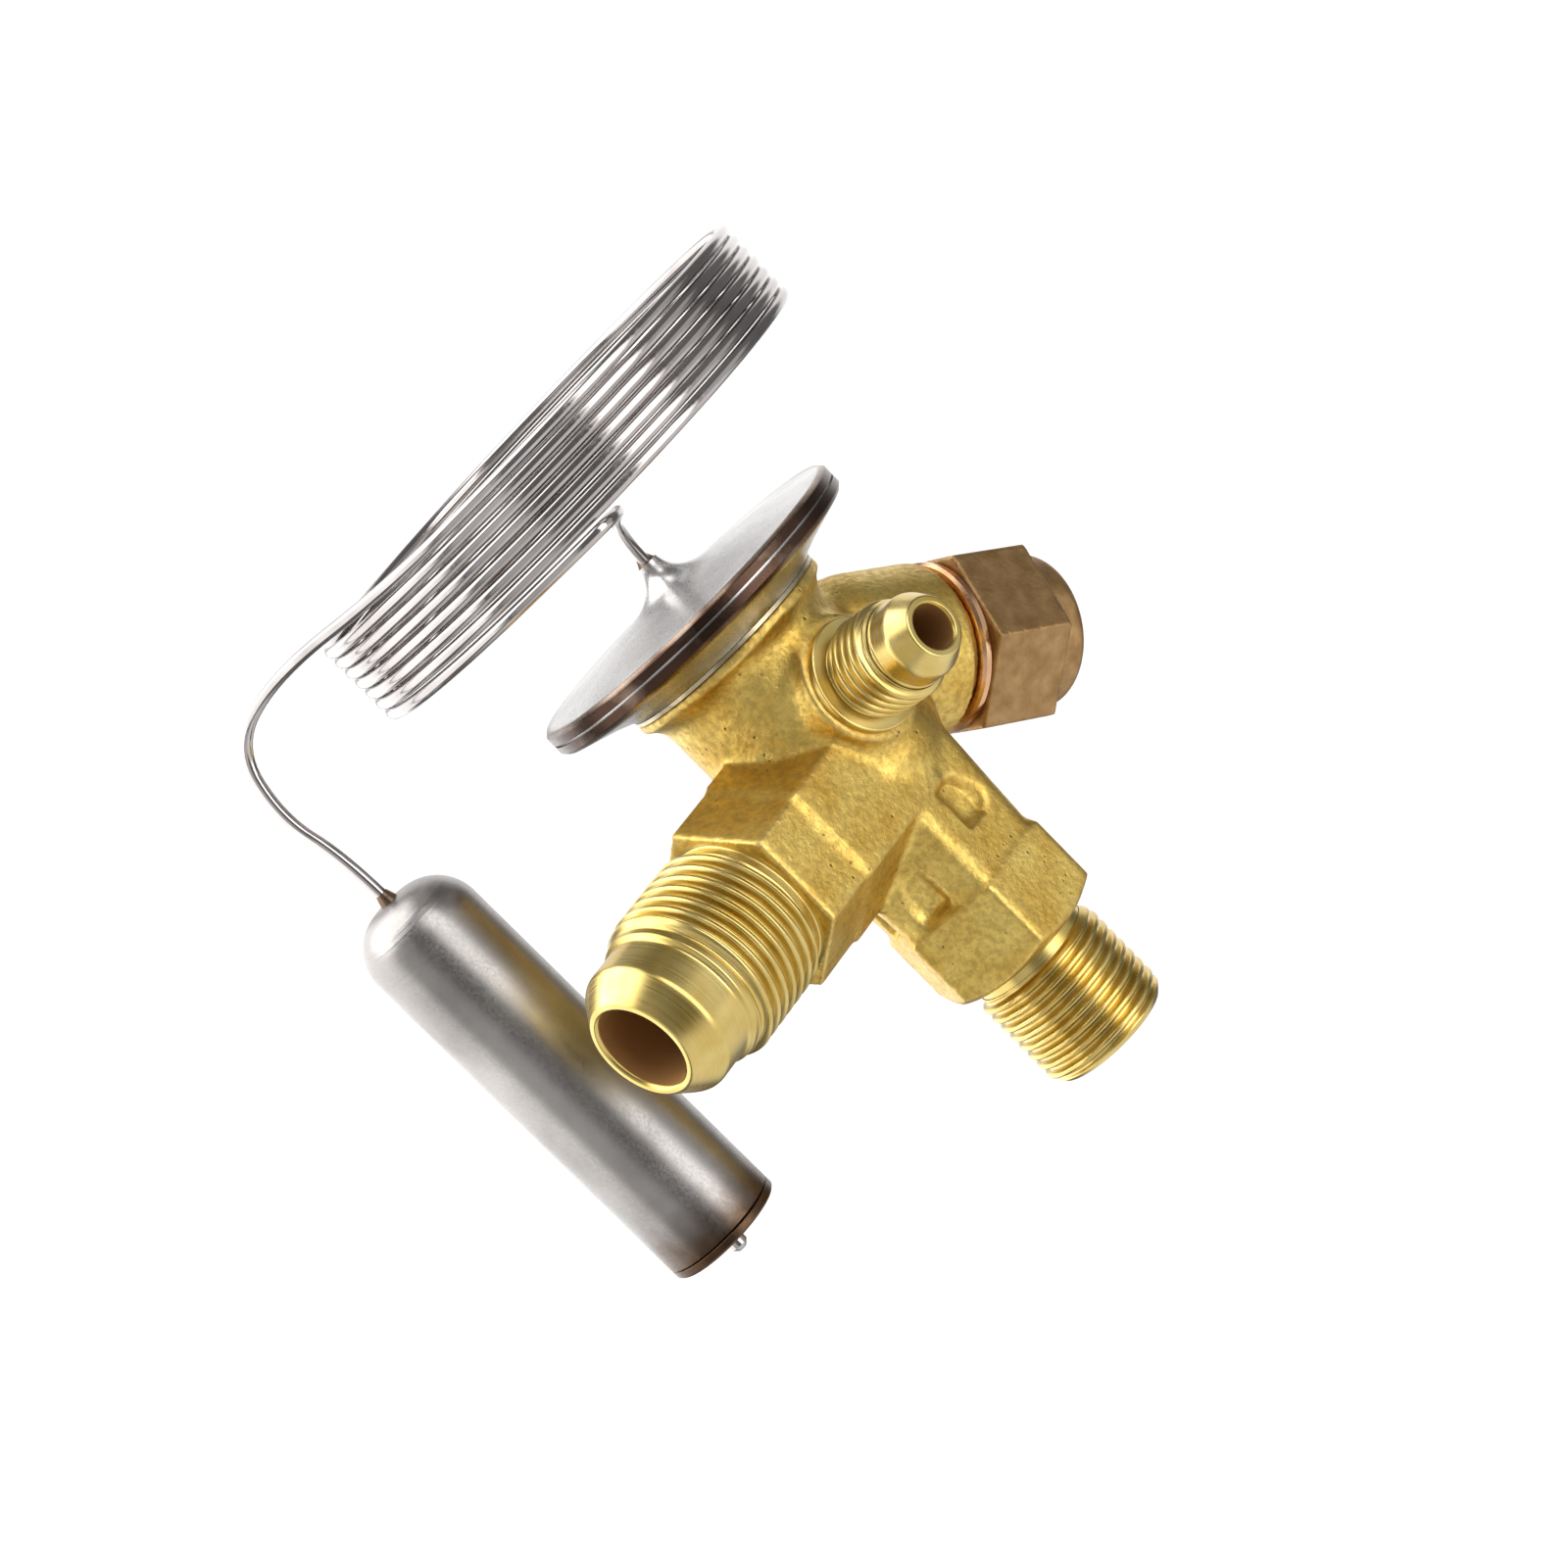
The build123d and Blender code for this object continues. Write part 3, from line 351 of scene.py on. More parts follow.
def seal_plastic():
    """White PTFE, skived and pressed: waxy, faintly mottled."""
    material, tree, shader, place = start_material("ptfe_white", metallic=0.0)
    connect(tree, shader, {
        "Base Color": blended(tree, noise(tree, place, 1.5, 2.0), linear("#E4E3DC"), linear("#D2D1C8")),
        "Roughness": 0.45,
    })
    return material


def woven_screen():
    """Woven stainless wire screen: a fine grid of round wires, 0.4 mm apart up the cone and 48 around."""
    material, tree, shader, place = start_material("woven_steel_screen")
    split = add(tree, "ShaderNodeSeparateXYZ", {"Vector": place}).outputs
    around = calc(tree, "ARCTAN2", split["Y"], split["X"])
    weft = calc(tree, "SINE", calc(tree, "MULTIPLY", split["Z"], 2 * pi / (0.4 * MM)))
    warp = calc(tree, "SINE", calc(tree, "MULTIPLY", around, 48.0))
    wires = calc(tree, "MAXIMUM", weft, warp)
    connect(tree, shader, {
        "Base Color": blended(tree, ranged(tree, wires, -0.2, 0.6), linear("#1F1D1B"), linear("#A9A6A1")),
        "Roughness": 0.4,
        "Normal": relief(tree, wires, 0.6, 0.05),
    })
    return material


def heat_tinted(material, distance, spot_mm, wander_mm, start_mm, end_mm, *stops):
    """Lays a weld's heat tint over a metal, along a distance. The tint's edge wanders."""
    tree = material.node_tree
    shader = tree.nodes["Principled BSDF"]
    tone = shader.inputs["Base Color"].links[0].from_socket
    place = add(tree, "ShaderNodeTexCoord").outputs["Object"]
    uneven = noise(tree, place, spot_mm, 3.0)
    wander = ranged(tree, uneven, 0.0, 1.0, -wander_mm * MM, wander_mm * MM)
    level = calc(tree, "ADD", distance, wander)
    heat = ramped(tree, ranged(tree, level, start_mm * MM, end_mm * MM), *stops)
    connect(tree, shader, {"Base Color": blended(tree, 1.0, tone, heat, "MULTIPLY")})


def head_steel():
    """Pressed stainless steel, satin, with the weld's straw and brown heat tint around its rim."""
    material = grained_metal("stainless_pressed_satin", "#BDBBBA", "#D6D4D3", 0.25, 0.3, 0.012, 6.0)
    tree = material.node_tree
    place = add(tree, "ShaderNodeTexCoord").outputs["Object"]
    split = add(tree, "ShaderNodeSeparateXYZ", {"Vector": place}).outputs
    flat = add(tree, "ShaderNodeCombineXYZ", {"X": split["X"], "Y": split["Y"]}).outputs["Vector"]
    reach = add(tree, "ShaderNodeVectorMath", {0: flat}, operation="LENGTH").outputs["Value"]
    heat_tinted(material, reach, 5, 0.5, 19.3, 20.25, (0.0, "#FFFFFF"), (0.55, "#C2AB97"), (1.0, "#5E483C"))
    return material


def bulb_steel():
    """Drawn stainless steel, satin, browned by the weld at its foot and ringed by the press at its top."""
    material = grained_metal("stainless_drawn_satin", "#8D8986", "#A8A4A1", 0.3, 0.36, 0.002, 9.0)
    tree = material.node_tree
    place = add(tree, "ShaderNodeTexCoord").outputs["Object"]
    height = add(tree, "ShaderNodeSeparateXYZ", {"Vector": place}).outputs["Z"]
    heat_tinted(material, height, 4, 3, 2.5, 9, (0.0, "#8A6E55"), (1.0, "#FFFFFF"))
    shoulder = ranged(tree, height, 42 * MM, 45 * MM)
    rings = calc(tree, "MULTIPLY", streaks(tree, height, 0.5 * MM, 1.0), shoulder)
    connect(tree, tree.nodes["Principled BSDF"], {"Normal": relief(tree, rings, 0.5, 0.06)})
    return material


FORGED = forged_brass()
TURNED = turned_brass()
CAP = grained_metal("bronze_toned_brass_matte", "#98774C", "#B59265", 0.45, 0.5, 0.12, 2.0)
COPPER = grained_metal("copper_washer_polished", "#C99772", "#E3B98F", 0.2, 0.2, 0.01)
HEAD = head_steel()
TUBE = grained_metal("stainless_tube_drawn", "#A39D9B", "#BDB8B6", 0.4, 0.14, 0.004, 8.0)
BULB = bulb_steel()
INNER = grained_metal("stainless_ground", "#B0B0B0", "#C6C6C6", 0.15, 0.25, 0.01)
SPRING = grained_metal("spring_steel_drawn", "#8E9094", "#A9ABAF", 0.2, 0.3, 0.01)
TARNISHED = grained_metal("braze_heat_darkened", "#4E3E33", "#8A745F", 0.5, 0.35, 0.03, 1.2)
BRAZE = grained_metal("silver_braze", "#A59676", "#C6BA9C", 0.5, 0.35, 0.04, 1.5)
PTFE = seal_plastic()
SCREEN = woven_screen()


# ---- the forged body -------------------------------------------------------------------

def neighbour_mean(points, pairs):
    """The mean of each point's neighbours along the mesh's edges."""
    count = len(points)
    a, b = pairs[:, 0], pairs[:, 1]
    number = np.bincount(a, minlength=count) + np.bincount(b, minlength=count)
    total = np.zeros(points.shape)
    for k in range(points.shape[1]):
        total[:, k] += np.bincount(a, weights=points[b, k], minlength=count)
        total[:, k] += np.bincount(b, weights=points[a, k], minlength=count)
    return total / number[:, None]


def outward(points, quads):
    """Unit normals of the points of a mesh of four-sided faces."""
    corner = [points[quads[:, c]] for c in range(4)]
    across = np.cross(corner[2] - corner[0], corner[3] - corner[1])
    total = np.stack([
        sum(np.bincount(quads[:, c], weights=across[:, k], minlength=len(points)) for c in range(4))
        for k in range(3)
    ], axis=1)
    return total / np.maximum(np.linalg.norm(total, axis=1), 1e-30)[:, None]


def off_axis(points, placed):
    """How far points lie from an axis and along it, in millimetres."""
    local = (points - np.array(placed.translation)) @ np.array(placed.to_3x3())
    return np.hypot(local[:, 0], local[:, 1]) / MM, local[:, 2] / MM


# What the solid's plain pockets take up, so that the flats can be made whole around the pressed ones.
PLAIN_HALF_W = 3.4
PLAIN_LOW_Z = 9.75
PLAIN_HIGH_Z = 20.6
PLAIN_DEEP = 2.4
PLAIN_ABOVE = 0.4
POCKET_WALL = 0.45       # how far in from its outline a pocket reaches full depth


def pocketed(points, azimuth, corners, deep, slope):
    """Presses a many-sided forging pocket into a trunk flat. Its floor rises by slope from corner one."""
    out = np.array([cos(radians(azimuth)), sin(radians(azimuth)), 0.0])
    across = np.array([-out[1], out[0], 0.0])
    stand, t, z = points @ out / MM, points @ across / MM, points[:, 2] / MM
    taper = (TRUNK_TOP_AF - TRUNK_LOW_AF) / 2 / (TRUNK_TOP_Z - TRUNK_LOW_Z)
    flat = TRUNK_LOW_AF / 2 + (z - TRUNK_LOW_Z) * taper
    corners = np.array(corners)
    middle = corners.mean(axis=0)
    inside = np.full(len(points), 1e9)
    for k in range(len(corners)):
        a, b = corners[k], corners[(k + 1) % len(corners)]
        normal = np.array([a[1] - b[1], b[0] - a[0]]) / np.hypot(*(b - a))
        normal *= np.sign(normal @ (middle - a))
        inside = np.minimum(inside, (t - a[0]) * normal[0] + (z - a[1]) * normal[1])
    fade = 1.0 - (t - corners[0][0]) * slope[0] - (z - corners[0][1]) * slope[1]
    depth = np.clip(inside / POCKET_WALL, 0, 1) * deep * np.clip(fade, 0.0, 1.0)
    plain = (np.abs(t) < PLAIN_HALF_W) & (z > PLAIN_LOW_Z) & (z < PLAIN_HIGH_Z)
    at_skin = (stand > flat - PLAIN_DEEP) & (stand < flat + PLAIN_ABOVE)
    near = (plain | (inside > 0)) & at_skin
    shift = np.where(near, (flat - depth - stand) * MM, 0.0)
    return points + shift[:, None] * out


def array_of(items, name, kind, width):
    """One property of all of a mesh's points or edges, as rows of the given width."""
    values = np.empty(len(items) * width, kind)
    items.foreach_get(name, values)
    return values.reshape(-1, width)


def forged(shape, voxel_mm, hollows, fillets, roundings, pockets=()):
    """Turns a sharp solid into a forging: inner corners get fillets, edges get rounded, bores stay."""
    mesh = bpy.data.meshes.new("forging")
    shape.to_mesh(mesh)
    shape.free()
    blank = linked("forging_blank", mesh)
    remesh = blank.modifiers.new("skin", "REMESH")
    remesh.mode = "VOXEL"
    remesh.voxel_size = voxel_mm * MM
    skin = evaluated_mesh(blank)

    points = array_of(skin.vertices, "co", float, 3)
    pairs = array_of(skin.edges, "vertices", int, 2)
    quads = []
    for face in skin.polygons:
        corners = list(face.vertices)
        quads.append(corners if len(corners) == 4 else corners + corners[:1])
    quads = np.array(quads)
    free = np.ones(len(points))
    for placed, radius, low, high in hollows:
        off, along = off_axis(points, placed)
        free[(off < radius) & (along > low) & (along < high)] = 0.0
    for azimuth, corners, deep, slope in pockets:
        points = pocketed(points, azimuth, corners, deep, slope)

    ease = 0.6           # share of the way to its neighbours' mean that a point moves in one turn
    step = voxel_mm * MM
    for turn in range(fillets):
        drift = neighbour_mean(points, pairs) - points
        rise = np.einsum("ij,ij->i", drift, outward(points, quads)) / step
        inner_corner = np.clip((rise - 0.004) / 0.03, 0, 1)
        points += drift * (ease * inner_corner * free)[:, None]
    for turn in range(roundings):
        drift = neighbour_mean(points, pairs) - points
        points += drift * (ease * free)[:, None]

    drift = neighbour_mean(points, pairs) - points
    convex = -np.einsum("ij,ij->i", drift, outward(points, quads)) / step
    for turn in range(2):
        convex = 0.5 * (convex + neighbour_mean(convex[:, None], pairs)[:, 0])
    skin.vertices.foreach_set("co", points.ravel())
    skin.update()
    point_values(skin, "edge_wear", np.clip((convex - 0.02) / 0.09, 0, 1) * free)
    off, along = off_axis(points, OUTLET)
    at_hexagon = (off > 8.8) * (off < 11.6)
    point_values(skin, "step_line", np.exp(-((along - OUTLET_STEP) / 0.25) ** 2) * at_hexagon)
    skin.shade_smooth()
    return skin


def cut_off(shape, placed, at_mm, around_mm):
    """Cuts a closed bmesh square to an axis, within a radius of it, and closes the cut."""
    point = placed @ Vector((0, 0, at_mm * MM))
    along = placed.to_3x3() @ Vector((0, 0, 1))
    back = placed.inverted()
    near = set()
    for vert in shape.verts:
        local = back @ vert.co
        if local.z > (at_mm - 5) * MM and local.xy.length < around_mm * MM:
            near.add(vert)
    edges = [e for e in shape.edges if e.verts[0] in near or e.verts[1] in near]
    faces = [f for f in shape.faces if any(v in near for v in f.verts)]
    end = list(near) + edges + faces
    cut = bmesh.ops.bisect_plane(
        shape, geom=end, dist=1e-7, plane_co=point, plane_no=along, clear_outer=True)
    rim = [e for e in cut["geom_cut"] if isinstance(e, bmesh.types.BMEdge)]
    bmesh.ops.triangle_fill(shape, edges=rim, use_beauty=True, normal=along)


def valve_body():
    """The forging without its turned ends. With them and the threads it stands for the CAD body."""
    shape = merged("valve_body")
    cut_off(shape, INLET, 0.03, 11.0)
    cut_off(shape, OUTLET, HEX_FRONT - 0.03, 12.0)
    cut_off(shape, EQUALISER, EQ_FACE - 0.03, 7.6)
    cut_off(shape, SPINDLE, BOSS_FACE - 0.03, 9.5)
    # bores that keep their edges: axis, radius, and where they start and end along it
    hollows = [
        (INLET, 6.6, -24.0, 1.0),
        (INLET, 9.0, -46.5, -31.0),
        (INLET, 3.4, -40.0, -20.0),
        (OUTLET, 6.0, -6.0, 30.0),
        (EQUALISER, 3.6, 4.0, 13.0),
        (SPINDLE, 5.0, 4.0, 24.0),
    ]
    # corners of the pockets across and up the flat, drawn for the side towards -Y
    flank = [(-1.7, 14.4), (1.9, 14.2), (3.6, 16.1), (1.1, 20.2), (-1.7, 20.0)]
    beside = [(1.2, 10.2), (1.2, 15.2), (-1.4, 16.6), (-3.0, 13.0), (-3.0, 10.2)]
    pockets = []
    for side in (-1, 1):
        pockets.append((90 * side, [(-side * t, z) for t, z in flank], 1.3, (-side * 0.05, 0.03)))
        pockets.append((150 * side, [(-side * t, z) for t, z in beside], 1.7, (side * 0.06, 0.13)))
    skin = forged(shape, BODY_VOXEL, hollows, 14, 2, pockets)
    return new_piece("body_forging", skin, FORGED, "valve", ["valve_body"])


# ---- turned ends and threads -----------------------------------------------------------

def thread_form():
    """A node tree that rolls a flat grid into a screw thread along +Z, with chamfered ends."""
    tree = bpy.data.node_groups.new("screw_thread", "GeometryNodeTree")
    face = tree.interface
    for name in ("Major Radius", "Depth", "Pitch", "Length"):
        face.new_socket(name, in_out="INPUT", socket_type="NodeSocketFloat")
    face.new_socket("Around", in_out="INPUT", socket_type="NodeSocketInt")
    face.new_socket("Rows", in_out="INPUT", socket_type="NodeSocketInt")
    face.new_socket("Metal", in_out="INPUT", socket_type="NodeSocketMaterial")
    face.new_socket("Thread", in_out="OUTPUT", socket_type="NodeSocketGeometry")
    given = tree.nodes.new("NodeGroupInput").outputs
    sheet = add(tree, "GeometryNodeMeshGrid", {
        "Size X": 1.0, "Size Y": 1.0, "Vertices X": given["Around"], "Vertices Y": given["Rows"]})
    position = add(tree, "GeometryNodeInputPosition").outputs[0]
    flat = add(tree, "ShaderNodeSeparateXYZ", {"Vector": position}).outputs
    u = calc(tree, "ADD", flat["X"], 0.5)
    v = calc(tree, "ADD", flat["Y"], 0.5)
    height = calc(tree, "MULTIPLY", v, given["Length"])
    phase = calc(tree, "SUBTRACT", calc(tree, "DIVIDE", height, given["Pitch"]), u)
    wave = calc(tree, "COSINE", calc(tree, "MULTIPLY", phase, 2 * pi))
    flank = ranged(tree, wave, -0.9, 0.8, curve="SMOOTHSTEP")
    crest = calc(tree, "MULTIPLY", flank, given["Depth"])
    root = calc(tree, "SUBTRACT", given["Major Radius"], given["Depth"])
    to_top = calc(tree, "SUBTRACT", given["Length"], height)
    chamfer = calc(tree, "MULTIPLY", calc(tree, "MINIMUM", height, to_top), 0.8)
    rise = calc(tree, "SMOOTH_MIN", crest, chamfer, 0.2 * MM)
    radius = calc(tree, "ADD", root, rise)
    theta = calc(tree, "MULTIPLY", u, 2 * pi)
    rolled = add(tree, "ShaderNodeCombineXYZ", {
        "X": calc(tree, "MULTIPLY", calc(tree, "COSINE", theta), radius),
        "Y": calc(tree, "MULTIPLY", calc(tree, "SINE", theta), radius),
        "Z": height,
    }).outputs[0]
    placed = add(tree, "GeometryNodeSetPosition", {"Geometry": sheet.outputs["Mesh"], "Position": rolled})
    closed = add(tree, "GeometryNodeMergeByDistance", {"Geometry": placed.outputs[0], "Distance": 2e-6})
    smooth = add(tree, "GeometryNodeSetShadeSmooth", {0: closed.outputs[0]})
    real = add(tree, "GeometryNodeRealizeInstances", {0: smooth.outputs[0]})
    painted = add(tree, "GeometryNodeSetMaterial", {"Geometry": real.outputs[0], "Material": given["Metal"]})
    add(tree, "NodeGroupOutput", {0: painted.outputs[0]})
    return tree


THREAD = thread_form()


def thread(name, placed, start, end, major, pitch, depth):
    """A screw thread from start to end along an axis, in millimetres."""
    blank = linked(name + "_blank", bpy.data.meshes.new(name + "_blank"))
    modifier = blank.modifiers.new("thread", "NODES")
    modifier.node_group = THREAD
    values = {
        "Major Radius": major * MM, "Depth": depth * MM, "Pitch": pitch * MM, "Length": (end - start) * MM,
        "Around": 97, "Rows": round((end - start) / pitch * 12) + 1, "Metal": TURNED,
    }
    for item in THREAD.interface.items_tree:
        if item.in_out == "INPUT":
            modifier[item.identifier] = values[item.name]
    mesh = evaluated_mesh(blank)
    shape = bmesh.new()
    shape.from_mesh(mesh)
    bmesh.ops.recalc_face_normals(shape, faces=shape.faces)
    if sum(face.normal.xy.dot(face.calc_center_median().xy) for face in shape.faces) < 0:
        bmesh.ops.reverse_faces(shape, faces=shape.faces)
    shape.to_mesh(mesh)
    shape.free()
    point_values(mesh, "along", [v.co.z / MM for v in mesh.vertices])
    mesh.transform(placed @ Matrix.Translation((0, 0, start * MM)))
    mesh.shade_smooth()
    return new_piece(name, mesh, TURNED, "valve")


def turned_end(name, profile, placed):
    """One turned end of the forging."""
    new_piece(name, turned(profile, placed), TURNED, "valve")


def flare_ends():
    """The three flare ends and the cap's stub, turned from the forging."""
    turned_end("outlet_flare_end", [
        (OUTLET_BORE_R, 20.5, 0), (OUTLET_BORE_R, OUTLET_NOSE - 0.35, 0.2),
        (OUTLET_BORE_R + 0.3, OUTLET_NOSE, 0.12), (5.85, OUTLET_NOSE, 0.25),
        (OUTLET_LAND_R, OUTLET_CONE, 0.5), (OUTLET_LAND_R, 36.7, 0.3), (8.72, 36.35, 0.2),
        (8.72, 35.5, 0.1), (8.5, 35.3, 0), (8.5, 24.2, 0), (8.6, 24.0, 0.1), (8.6, 22.9, 0.2),
        (9.3, 22.7, 0), (9.3, 20.5, 0),
    ], OUTLET)
    thread("outlet_thread", OUTLET, 23.7, 35.6, OUTLET_THREAD_R, 1.5875, 0.92)
    turned_end("inlet_flare_end", [
        (INLET_BORE_R, -1.5, 0), (INLET_BORE_R, INLET_FACE - 0.5, 0.2),
        (INLET_BORE_R + 0.4, INLET_FACE, 0.2), (INLET_ROOT_R - 0.4, INLET_FACE, 0.3),
        (INLET_ROOT_R, INLET_FACE - 0.5, 0), (INLET_ROOT_R, -1.5, 0),
    ], INLET)
    thread("inlet_thread", INLET, 1.3, 13.75, INLET_THREAD_R, 1.411, 0.85)
    turned_end("equaliser_flare_end", [
        (EQ_BORE_R, 10.5, 0), (EQ_BORE_R, EQ_NOSE - 0.3, 0.2), (EQ_BORE_R + 0.25, EQ_NOSE, 0.1),
        (3.3, EQ_NOSE, 0.2), (EQ_LAND_R, EQ_CONE, 0.4), (EQ_LAND_R, 20.8, 0.2), (4.8, 20.6, 0.1),
        (EQ_ROOT_R, 19.8, 0), (EQ_ROOT_R, 13.6, 0.1), (EQ_ROOT_R, 12.95, 0.2), (6.4, 12.75, 0.2),
        (6.4, 11.5, 0), (4.0, 10.5, 0),
    ], EQUALISER)
    thread("equaliser_thread", EQUALISER, 13.5, 20.3, EQ_THREAD_R, 1.27, 0.72)
    turned_end("cap_stub", [
        (STUB_BORE_R, 20.9, 0), (STUB_BORE_R, STUB_FACE - 0.3, 0.2),
        (STUB_BORE_R + 0.3, STUB_FACE, 0.1), (STUB_ROOT_R - 0.2, STUB_FACE, 0.3),
        (STUB_ROOT_R, STUB_FACE - 0.3, 0), (STUB_ROOT_R, 20.9, 0),
    ], SPINDLE)
    thread("cap_stub_thread", SPINDLE, 22.8, 29.25, STUB_THREAD_R, 1.5, 0.85)


# ---- capillary -------------------------------------------------------------------------

TUBE_D = 1.3
COIL_SWELL = 1.07        # the coil's turns are drawn this much thicker
COIL_D = 59.2
COIL_PITCH = 1.47
COIL_START_Z = 65.3
COIL_START_AZ = 222.0
COIL_RUNS = 85
RUNS_PER_TURN = 12
COIL_TILT = 0.9
COIL_TILT_AZ = -38.0
COIL_ENTRY_AZ = 236.0


def coil_point(run):
    """Corner of the coil's many-sided path after the given number of runs."""
    turn = run / RUNS_PER_TURN
    azimuth = radians(COIL_START_AZ) - 2 * pi * turn
    lean = cos(azimuth - radians(COIL_TILT_AZ)) - cos(radians(COIL_START_AZ - COIL_TILT_AZ))
    corner_r = COIL_D / 2 / cos(pi / RUNS_PER_TURN)
    height = COIL_START_Z + COIL_PITCH * turn + COIL_TILT * lean
    return (corner_r * cos(azimuth), corner_r * sin(azimuth), height)


def capillary():
    """The capillary: up out of the nose, out to the coil, round it, and down to the bulb."""
    entry = radians(COIL_ENTRY_AZ)
    route = [(0, 0, 55.4), (0, 0, 62.7)]
    route += [(COIL_D / 2 * cos(entry), COIL_D / 2 * sin(entry), COIL_START_Z)]
    route += [coil_point(run) for run in range(COIL_RUNS + 1)]
    route += [(-30.6, 17.5, 76.2), (-34.2, 27.0, 73.6), (-36.4, 27.4, 65.0)]
    route += [(BULB_X, BULB_Y, 58.0), (BULB_X, BULB_Y, 51.1)]
    curve = bpy.data.curves.new("capillary_route", "CURVE")
    curve.dimensions = "3D"
    curve.bevel_depth = TUBE_D / 2 * MM
    curve.bevel_resolution = 4
    curve.use_fill_caps = True
    curve.resolution_u = 10
    spline = curve.splines.new("NURBS")
    spline.points.add(len(route) - 1)
    for k, (point, place) in enumerate(zip(spline.points, route)):
        point.co = (place[0] * MM, place[1] * MM, place[2] * MM, 1)
        point.radius = COIL_SWELL if 4 < k < COIL_RUNS else 1.0
    spline.order_u = 3
    spline.use_endpoint_u = True
    mesh = evaluated_mesh(linked("capillary_drawn", curve))
    mesh.shade_smooth()
    return new_piece("capillary", mesh, TUBE, "valve", ["capillary_tube"])


# ---- pieces that keep their CAD shape --------------------------------------------------

def smooth_copy(node_name, material, body):
    """A piece of the node's own shape whose round faces shade smoothly."""
    shape = merged(node_name)
    mesh = bpy.data.meshes.new(node_name)
    shape.to_mesh(mesh)
    shape.free()
    smooth_with_edges(mesh, 28)
    return new_piece(node_name + "_finished", mesh, material, body, [node_name])


def spring(node_name):
    """A coil spring of the node's own shape, shading smoothly, on no body, with its place baked into its
    mesh.
    """
    piece = smooth_copy(node_name, SPRING, None)
    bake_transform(piece)


# CAD node, material, body and slot
FINISHED = [
    ("head_upper_shell", HEAD, "valve", "head_steel"),
    ("head_lower_shell", HEAD, "valve", "head_steel"),
    ("head_braze_ring", BRAZE, "valve", "braze"),
    ("nose_braze", TARNISHED, "valve", "braze"),
    ("cap_washer", COPPER, "cap_ring", "copper_washer"),
    ("bulb_shell", BULB, "valve", "bulb_steel"),
    ("bulb_end_cap", BULB, "valve", "bulb_steel"),
    ("bulb_fill_tube", TUBE, "valve", "tube_steel"),
    ("bulb_ferrule", TARNISHED, "valve", "braze"),
    ("gland_nut", TURNED, "valve", "turned_brass"),
    ("setting_spindle", INNER, "spindle", "inner_steel"),
    ("strainer_screen", SCREEN, "valve", "screen_mesh"),
    ("strainer_ring", TURNED, "valve", "turned_brass"),
]
# CAD nodes that are shown as they are
HIDDEN = {
    "diaphragm": INNER, "diaphragm_pad": INNER, "push_pin": INNER, "valve_cone": INNER,
    "orifice_body": TURNED, "orifice_seal": PTFE, "spring_retainer": TURNED, "spring_seat": TURNED,
    "thrust_ball": INNER, "gland_packing": PTFE,
}

valve_body()
flare_ends()
capillary()
for node_name, material, body, slot in FINISHED:
    smooth_copy(node_name, material, body)
spring("cone_spring")
spring("superheat_spring")
for node_name, material in HIDDEN.items():
    nodes[node_name].data.materials.clear()
    nodes[node_name].data.materials.append(material)

cap_skin = forged(merged("seal_cap"), CAP_VOXEL, [(SPINDLE, 7.3, 22.0, 32.6)], 0, 2)
new_piece("seal_cap_finished", cap_skin, CAP, "cap", ["seal_cap"])


# ---- studio ----------------------------------------------------------------------------

FLOOR_Z = -110.0
FLOOR_HALF = 6.0         # metres

# Round soft boxes: direction, half angle and softness in degrees, brightness.
ROUND_BOXES = [
    ((-0.25, 0.3, 1.0), 28, 12, 3.4),
    ((-0.1, -0.2, -1.0), 40, 20, 0.9),
]

# Upright strips: azimuth, half width and softness in degrees, lowest and highest rise, brightness.
STRIPS = [
    (272, 12, 8, -0.5, 0.7, 3.1),
    (196, 12, 8, -0.4, 0.5, 0.6),
    (118, 48, 10, -0.3, 0.7, 1.9),
    (34, 20, 10, -0.3, 0.6, 1.15),
    (308, 12, 10, -0.6, 0.2, 0.45),
]
STRIP_FADE = 0.12        # how softly a strip ends at its foot and top
ROOM_SHINE = 0.2         # what the metal mirrors between the boxes
ROOM_LIGHT = 1.15

# The camera: where it stands, in millimetres, and its own axes.
CAMERA_PLACE = (-236.1475, -290.5813, 91.2073)
CAMERA_RIGHT = (0.488786, -0.527855, -0.694592)
CAMERA_UP = (0.623598, -0.345391, 0.701306)
CAMERA_BACK = (-0.610093, -0.775935, 0.160347)
CAMERA_LENS = 82.64


def pale_floor():
    """A pale matte floor, which the metal doesn't mirror."""
    mesh = bpy.data.meshes.new("floor")
    around = [(-1, -1), (1, -1), (1, 1), (-1, 1)]
    corners = [(x * FLOOR_HALF, y * FLOOR_HALF, FLOOR_Z * MM) for x, y in around]
    mesh.from_pydata(corners, [], [(0, 1, 2, 3)])
    floor = linked("floor", mesh)
    paint, tree, shader = start_material("floor_white", metallic=0.0)[:3]
    connect(tree, shader, {"Base Color": linear("#F7F7F7"), "Roughness": 0.9})
    mesh.materials.append(paint)
    floor.visible_glossy = False


def toward_box(tree, looking, direction, half_angle, soft, bright):
    """The glow of a box around a direction, for a ray that looks along looking."""
    near = add(tree, "ShaderNodeVectorMath", {0: looking, 1: direction}, operation="DOT_PRODUCT")
    outer, inner = cos(radians(half_angle + soft)), cos(radians(half_angle))
    return ranged(tree, near.outputs["Value"], outer, inner, 0.0, bright, curve="SMOOTHSTEP")


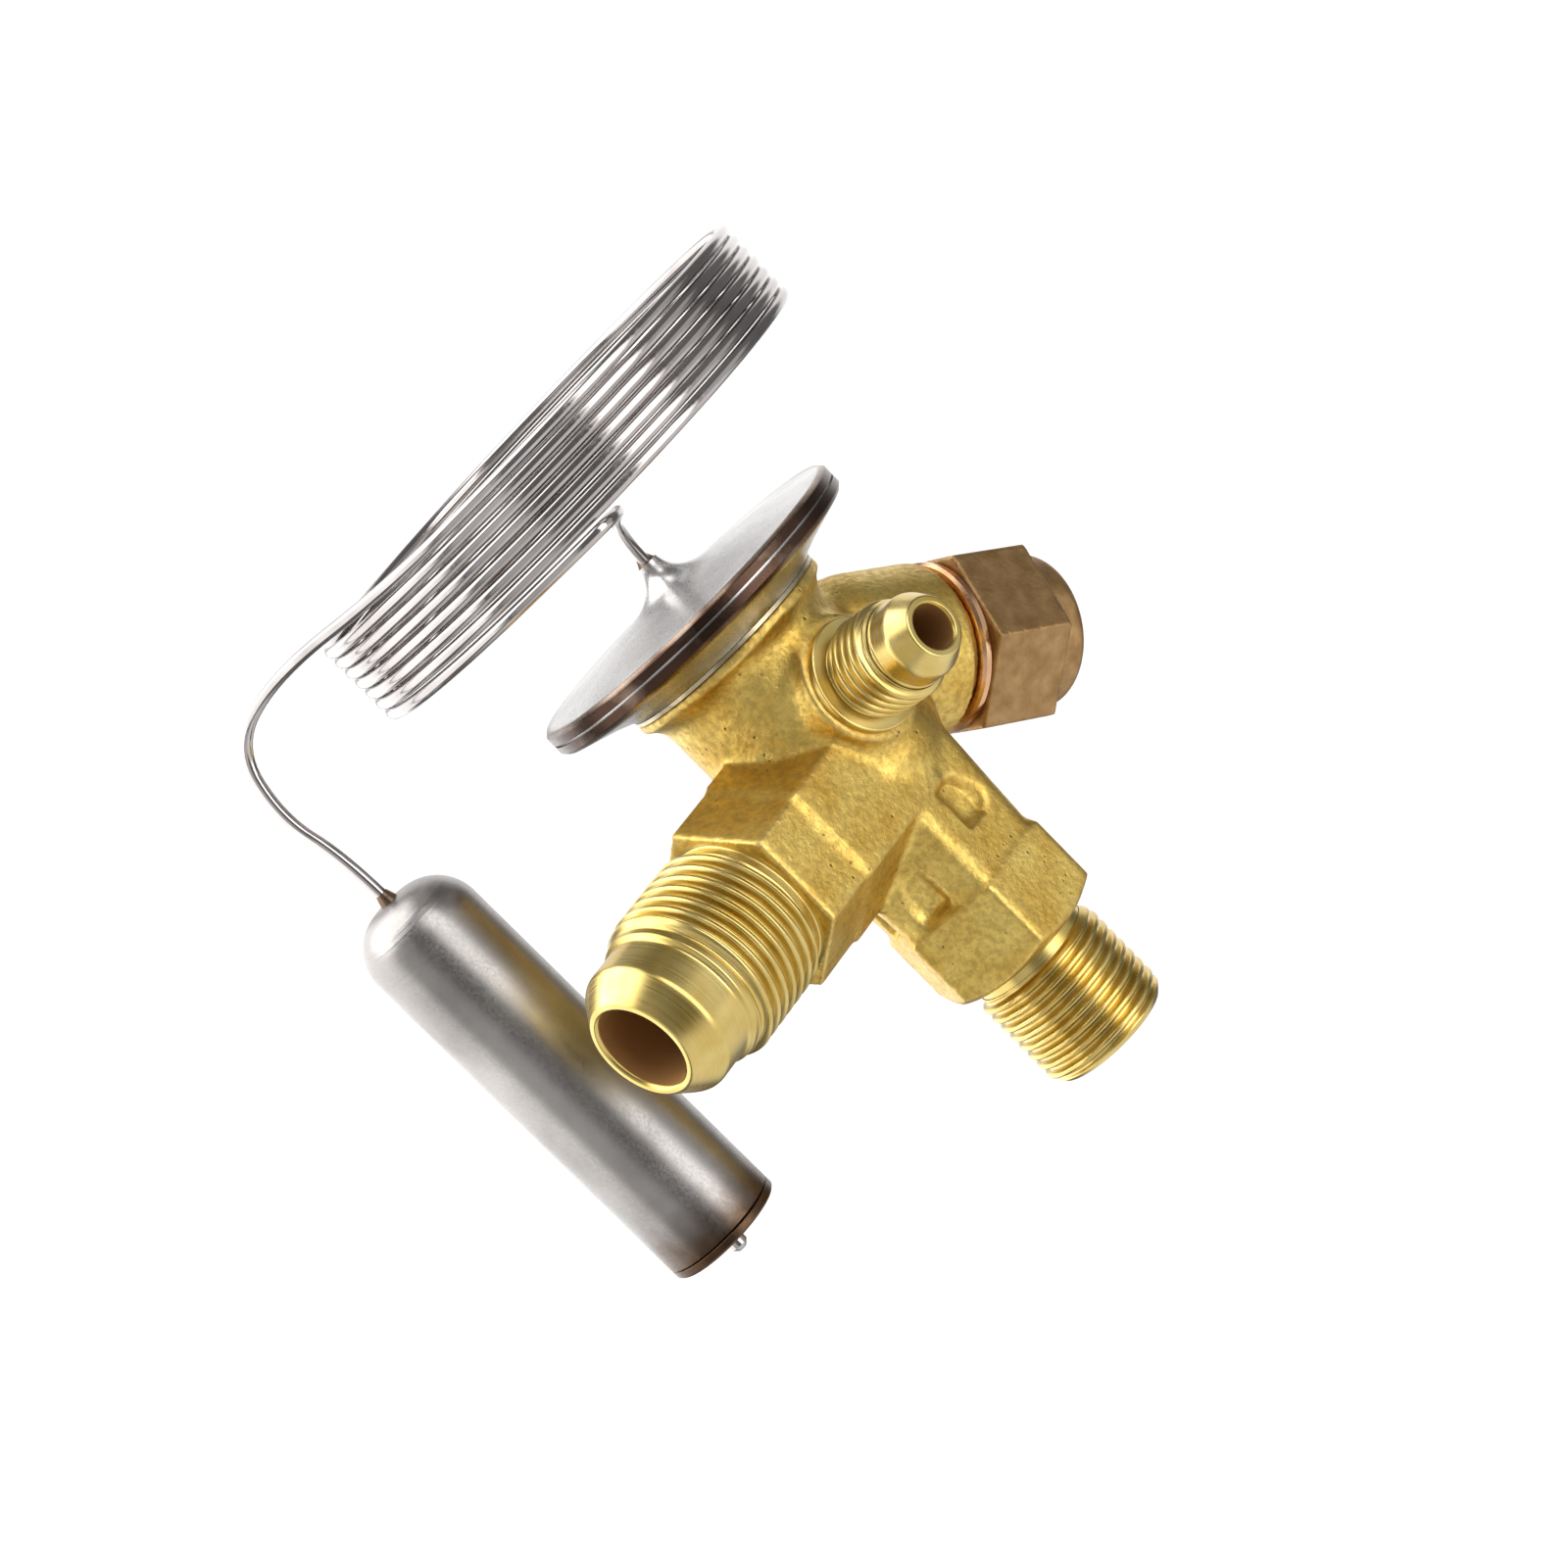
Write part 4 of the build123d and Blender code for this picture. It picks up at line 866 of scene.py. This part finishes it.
def white_surround():
    """Even white light all round. What the metal mirrors is darker, with soft boxes and strips in it."""
    world = bpy.data.worlds.new("studio_surround")
    bpy.context.scene.world = world
    world.use_nodes = True
    tree = world.node_tree
    tree.nodes.clear()
    looking = add(tree, "ShaderNodeTexCoord").outputs["Generated"]
    split = add(tree, "ShaderNodeSeparateXYZ", {"Vector": looking}).outputs
    level = add(tree, "ShaderNodeCombineXYZ", {"X": split["X"], "Y": split["Y"]}).outputs[0]
    level = add(tree, "ShaderNodeVectorMath", {0: level}, operation="NORMALIZE").outputs[0]
    mirrored = ROOM_SHINE
    for direction, half_angle, soft, bright in ROUND_BOXES:
        box = toward_box(tree, looking, Vector(direction).normalized(), half_angle, soft, bright)
        mirrored = calc(tree, "ADD", box, mirrored)
    for azimuth, half_width, soft, low, high, bright in STRIPS:
        direction = (cos(radians(azimuth)), sin(radians(azimuth)), 0)
        strip = toward_box(tree, level, direction, half_width, soft, bright)
        foot = ranged(tree, split["Z"], low - STRIP_FADE, low)
        top = ranged(tree, split["Z"], high + STRIP_FADE, high)
        strip = calc(tree, "MULTIPLY", calc(tree, "MULTIPLY", strip, foot), top)
        mirrored = calc(tree, "ADD", mirrored, strip)
    glossy = add(tree, "ShaderNodeLightPath").outputs["Is Glossy Ray"]
    strength = add(tree, "ShaderNodeMix", {"Factor": glossy, "A": ROOM_LIGHT, "B": mirrored})
    surround = add(tree, "ShaderNodeBackground", {
        "Color": linear("#FFFFFF"), "Strength": strength.outputs["Result"]})
    add(tree, "ShaderNodeOutputWorld", {"Surface": surround.outputs[0]})


def set_camera():
    """The camera, with colours shown as they are."""
    bpy.context.scene.view_settings.view_transform = "Standard"
    lens = bpy.data.cameras.new("camera")
    lens.sensor_width = 36.0
    lens.lens = CAMERA_LENS
    lens.clip_start = 0.01
    lens.clip_end = 50.0
    camera = linked("camera", lens)
    turn = Matrix((CAMERA_RIGHT, CAMERA_UP, CAMERA_BACK)).transposed().to_4x4()
    camera.matrix_world = Matrix.Translation(Vector(CAMERA_PLACE) * MM) @ turn
    bpy.context.scene.camera = camera


pale_floor()
white_surround()
set_camera()
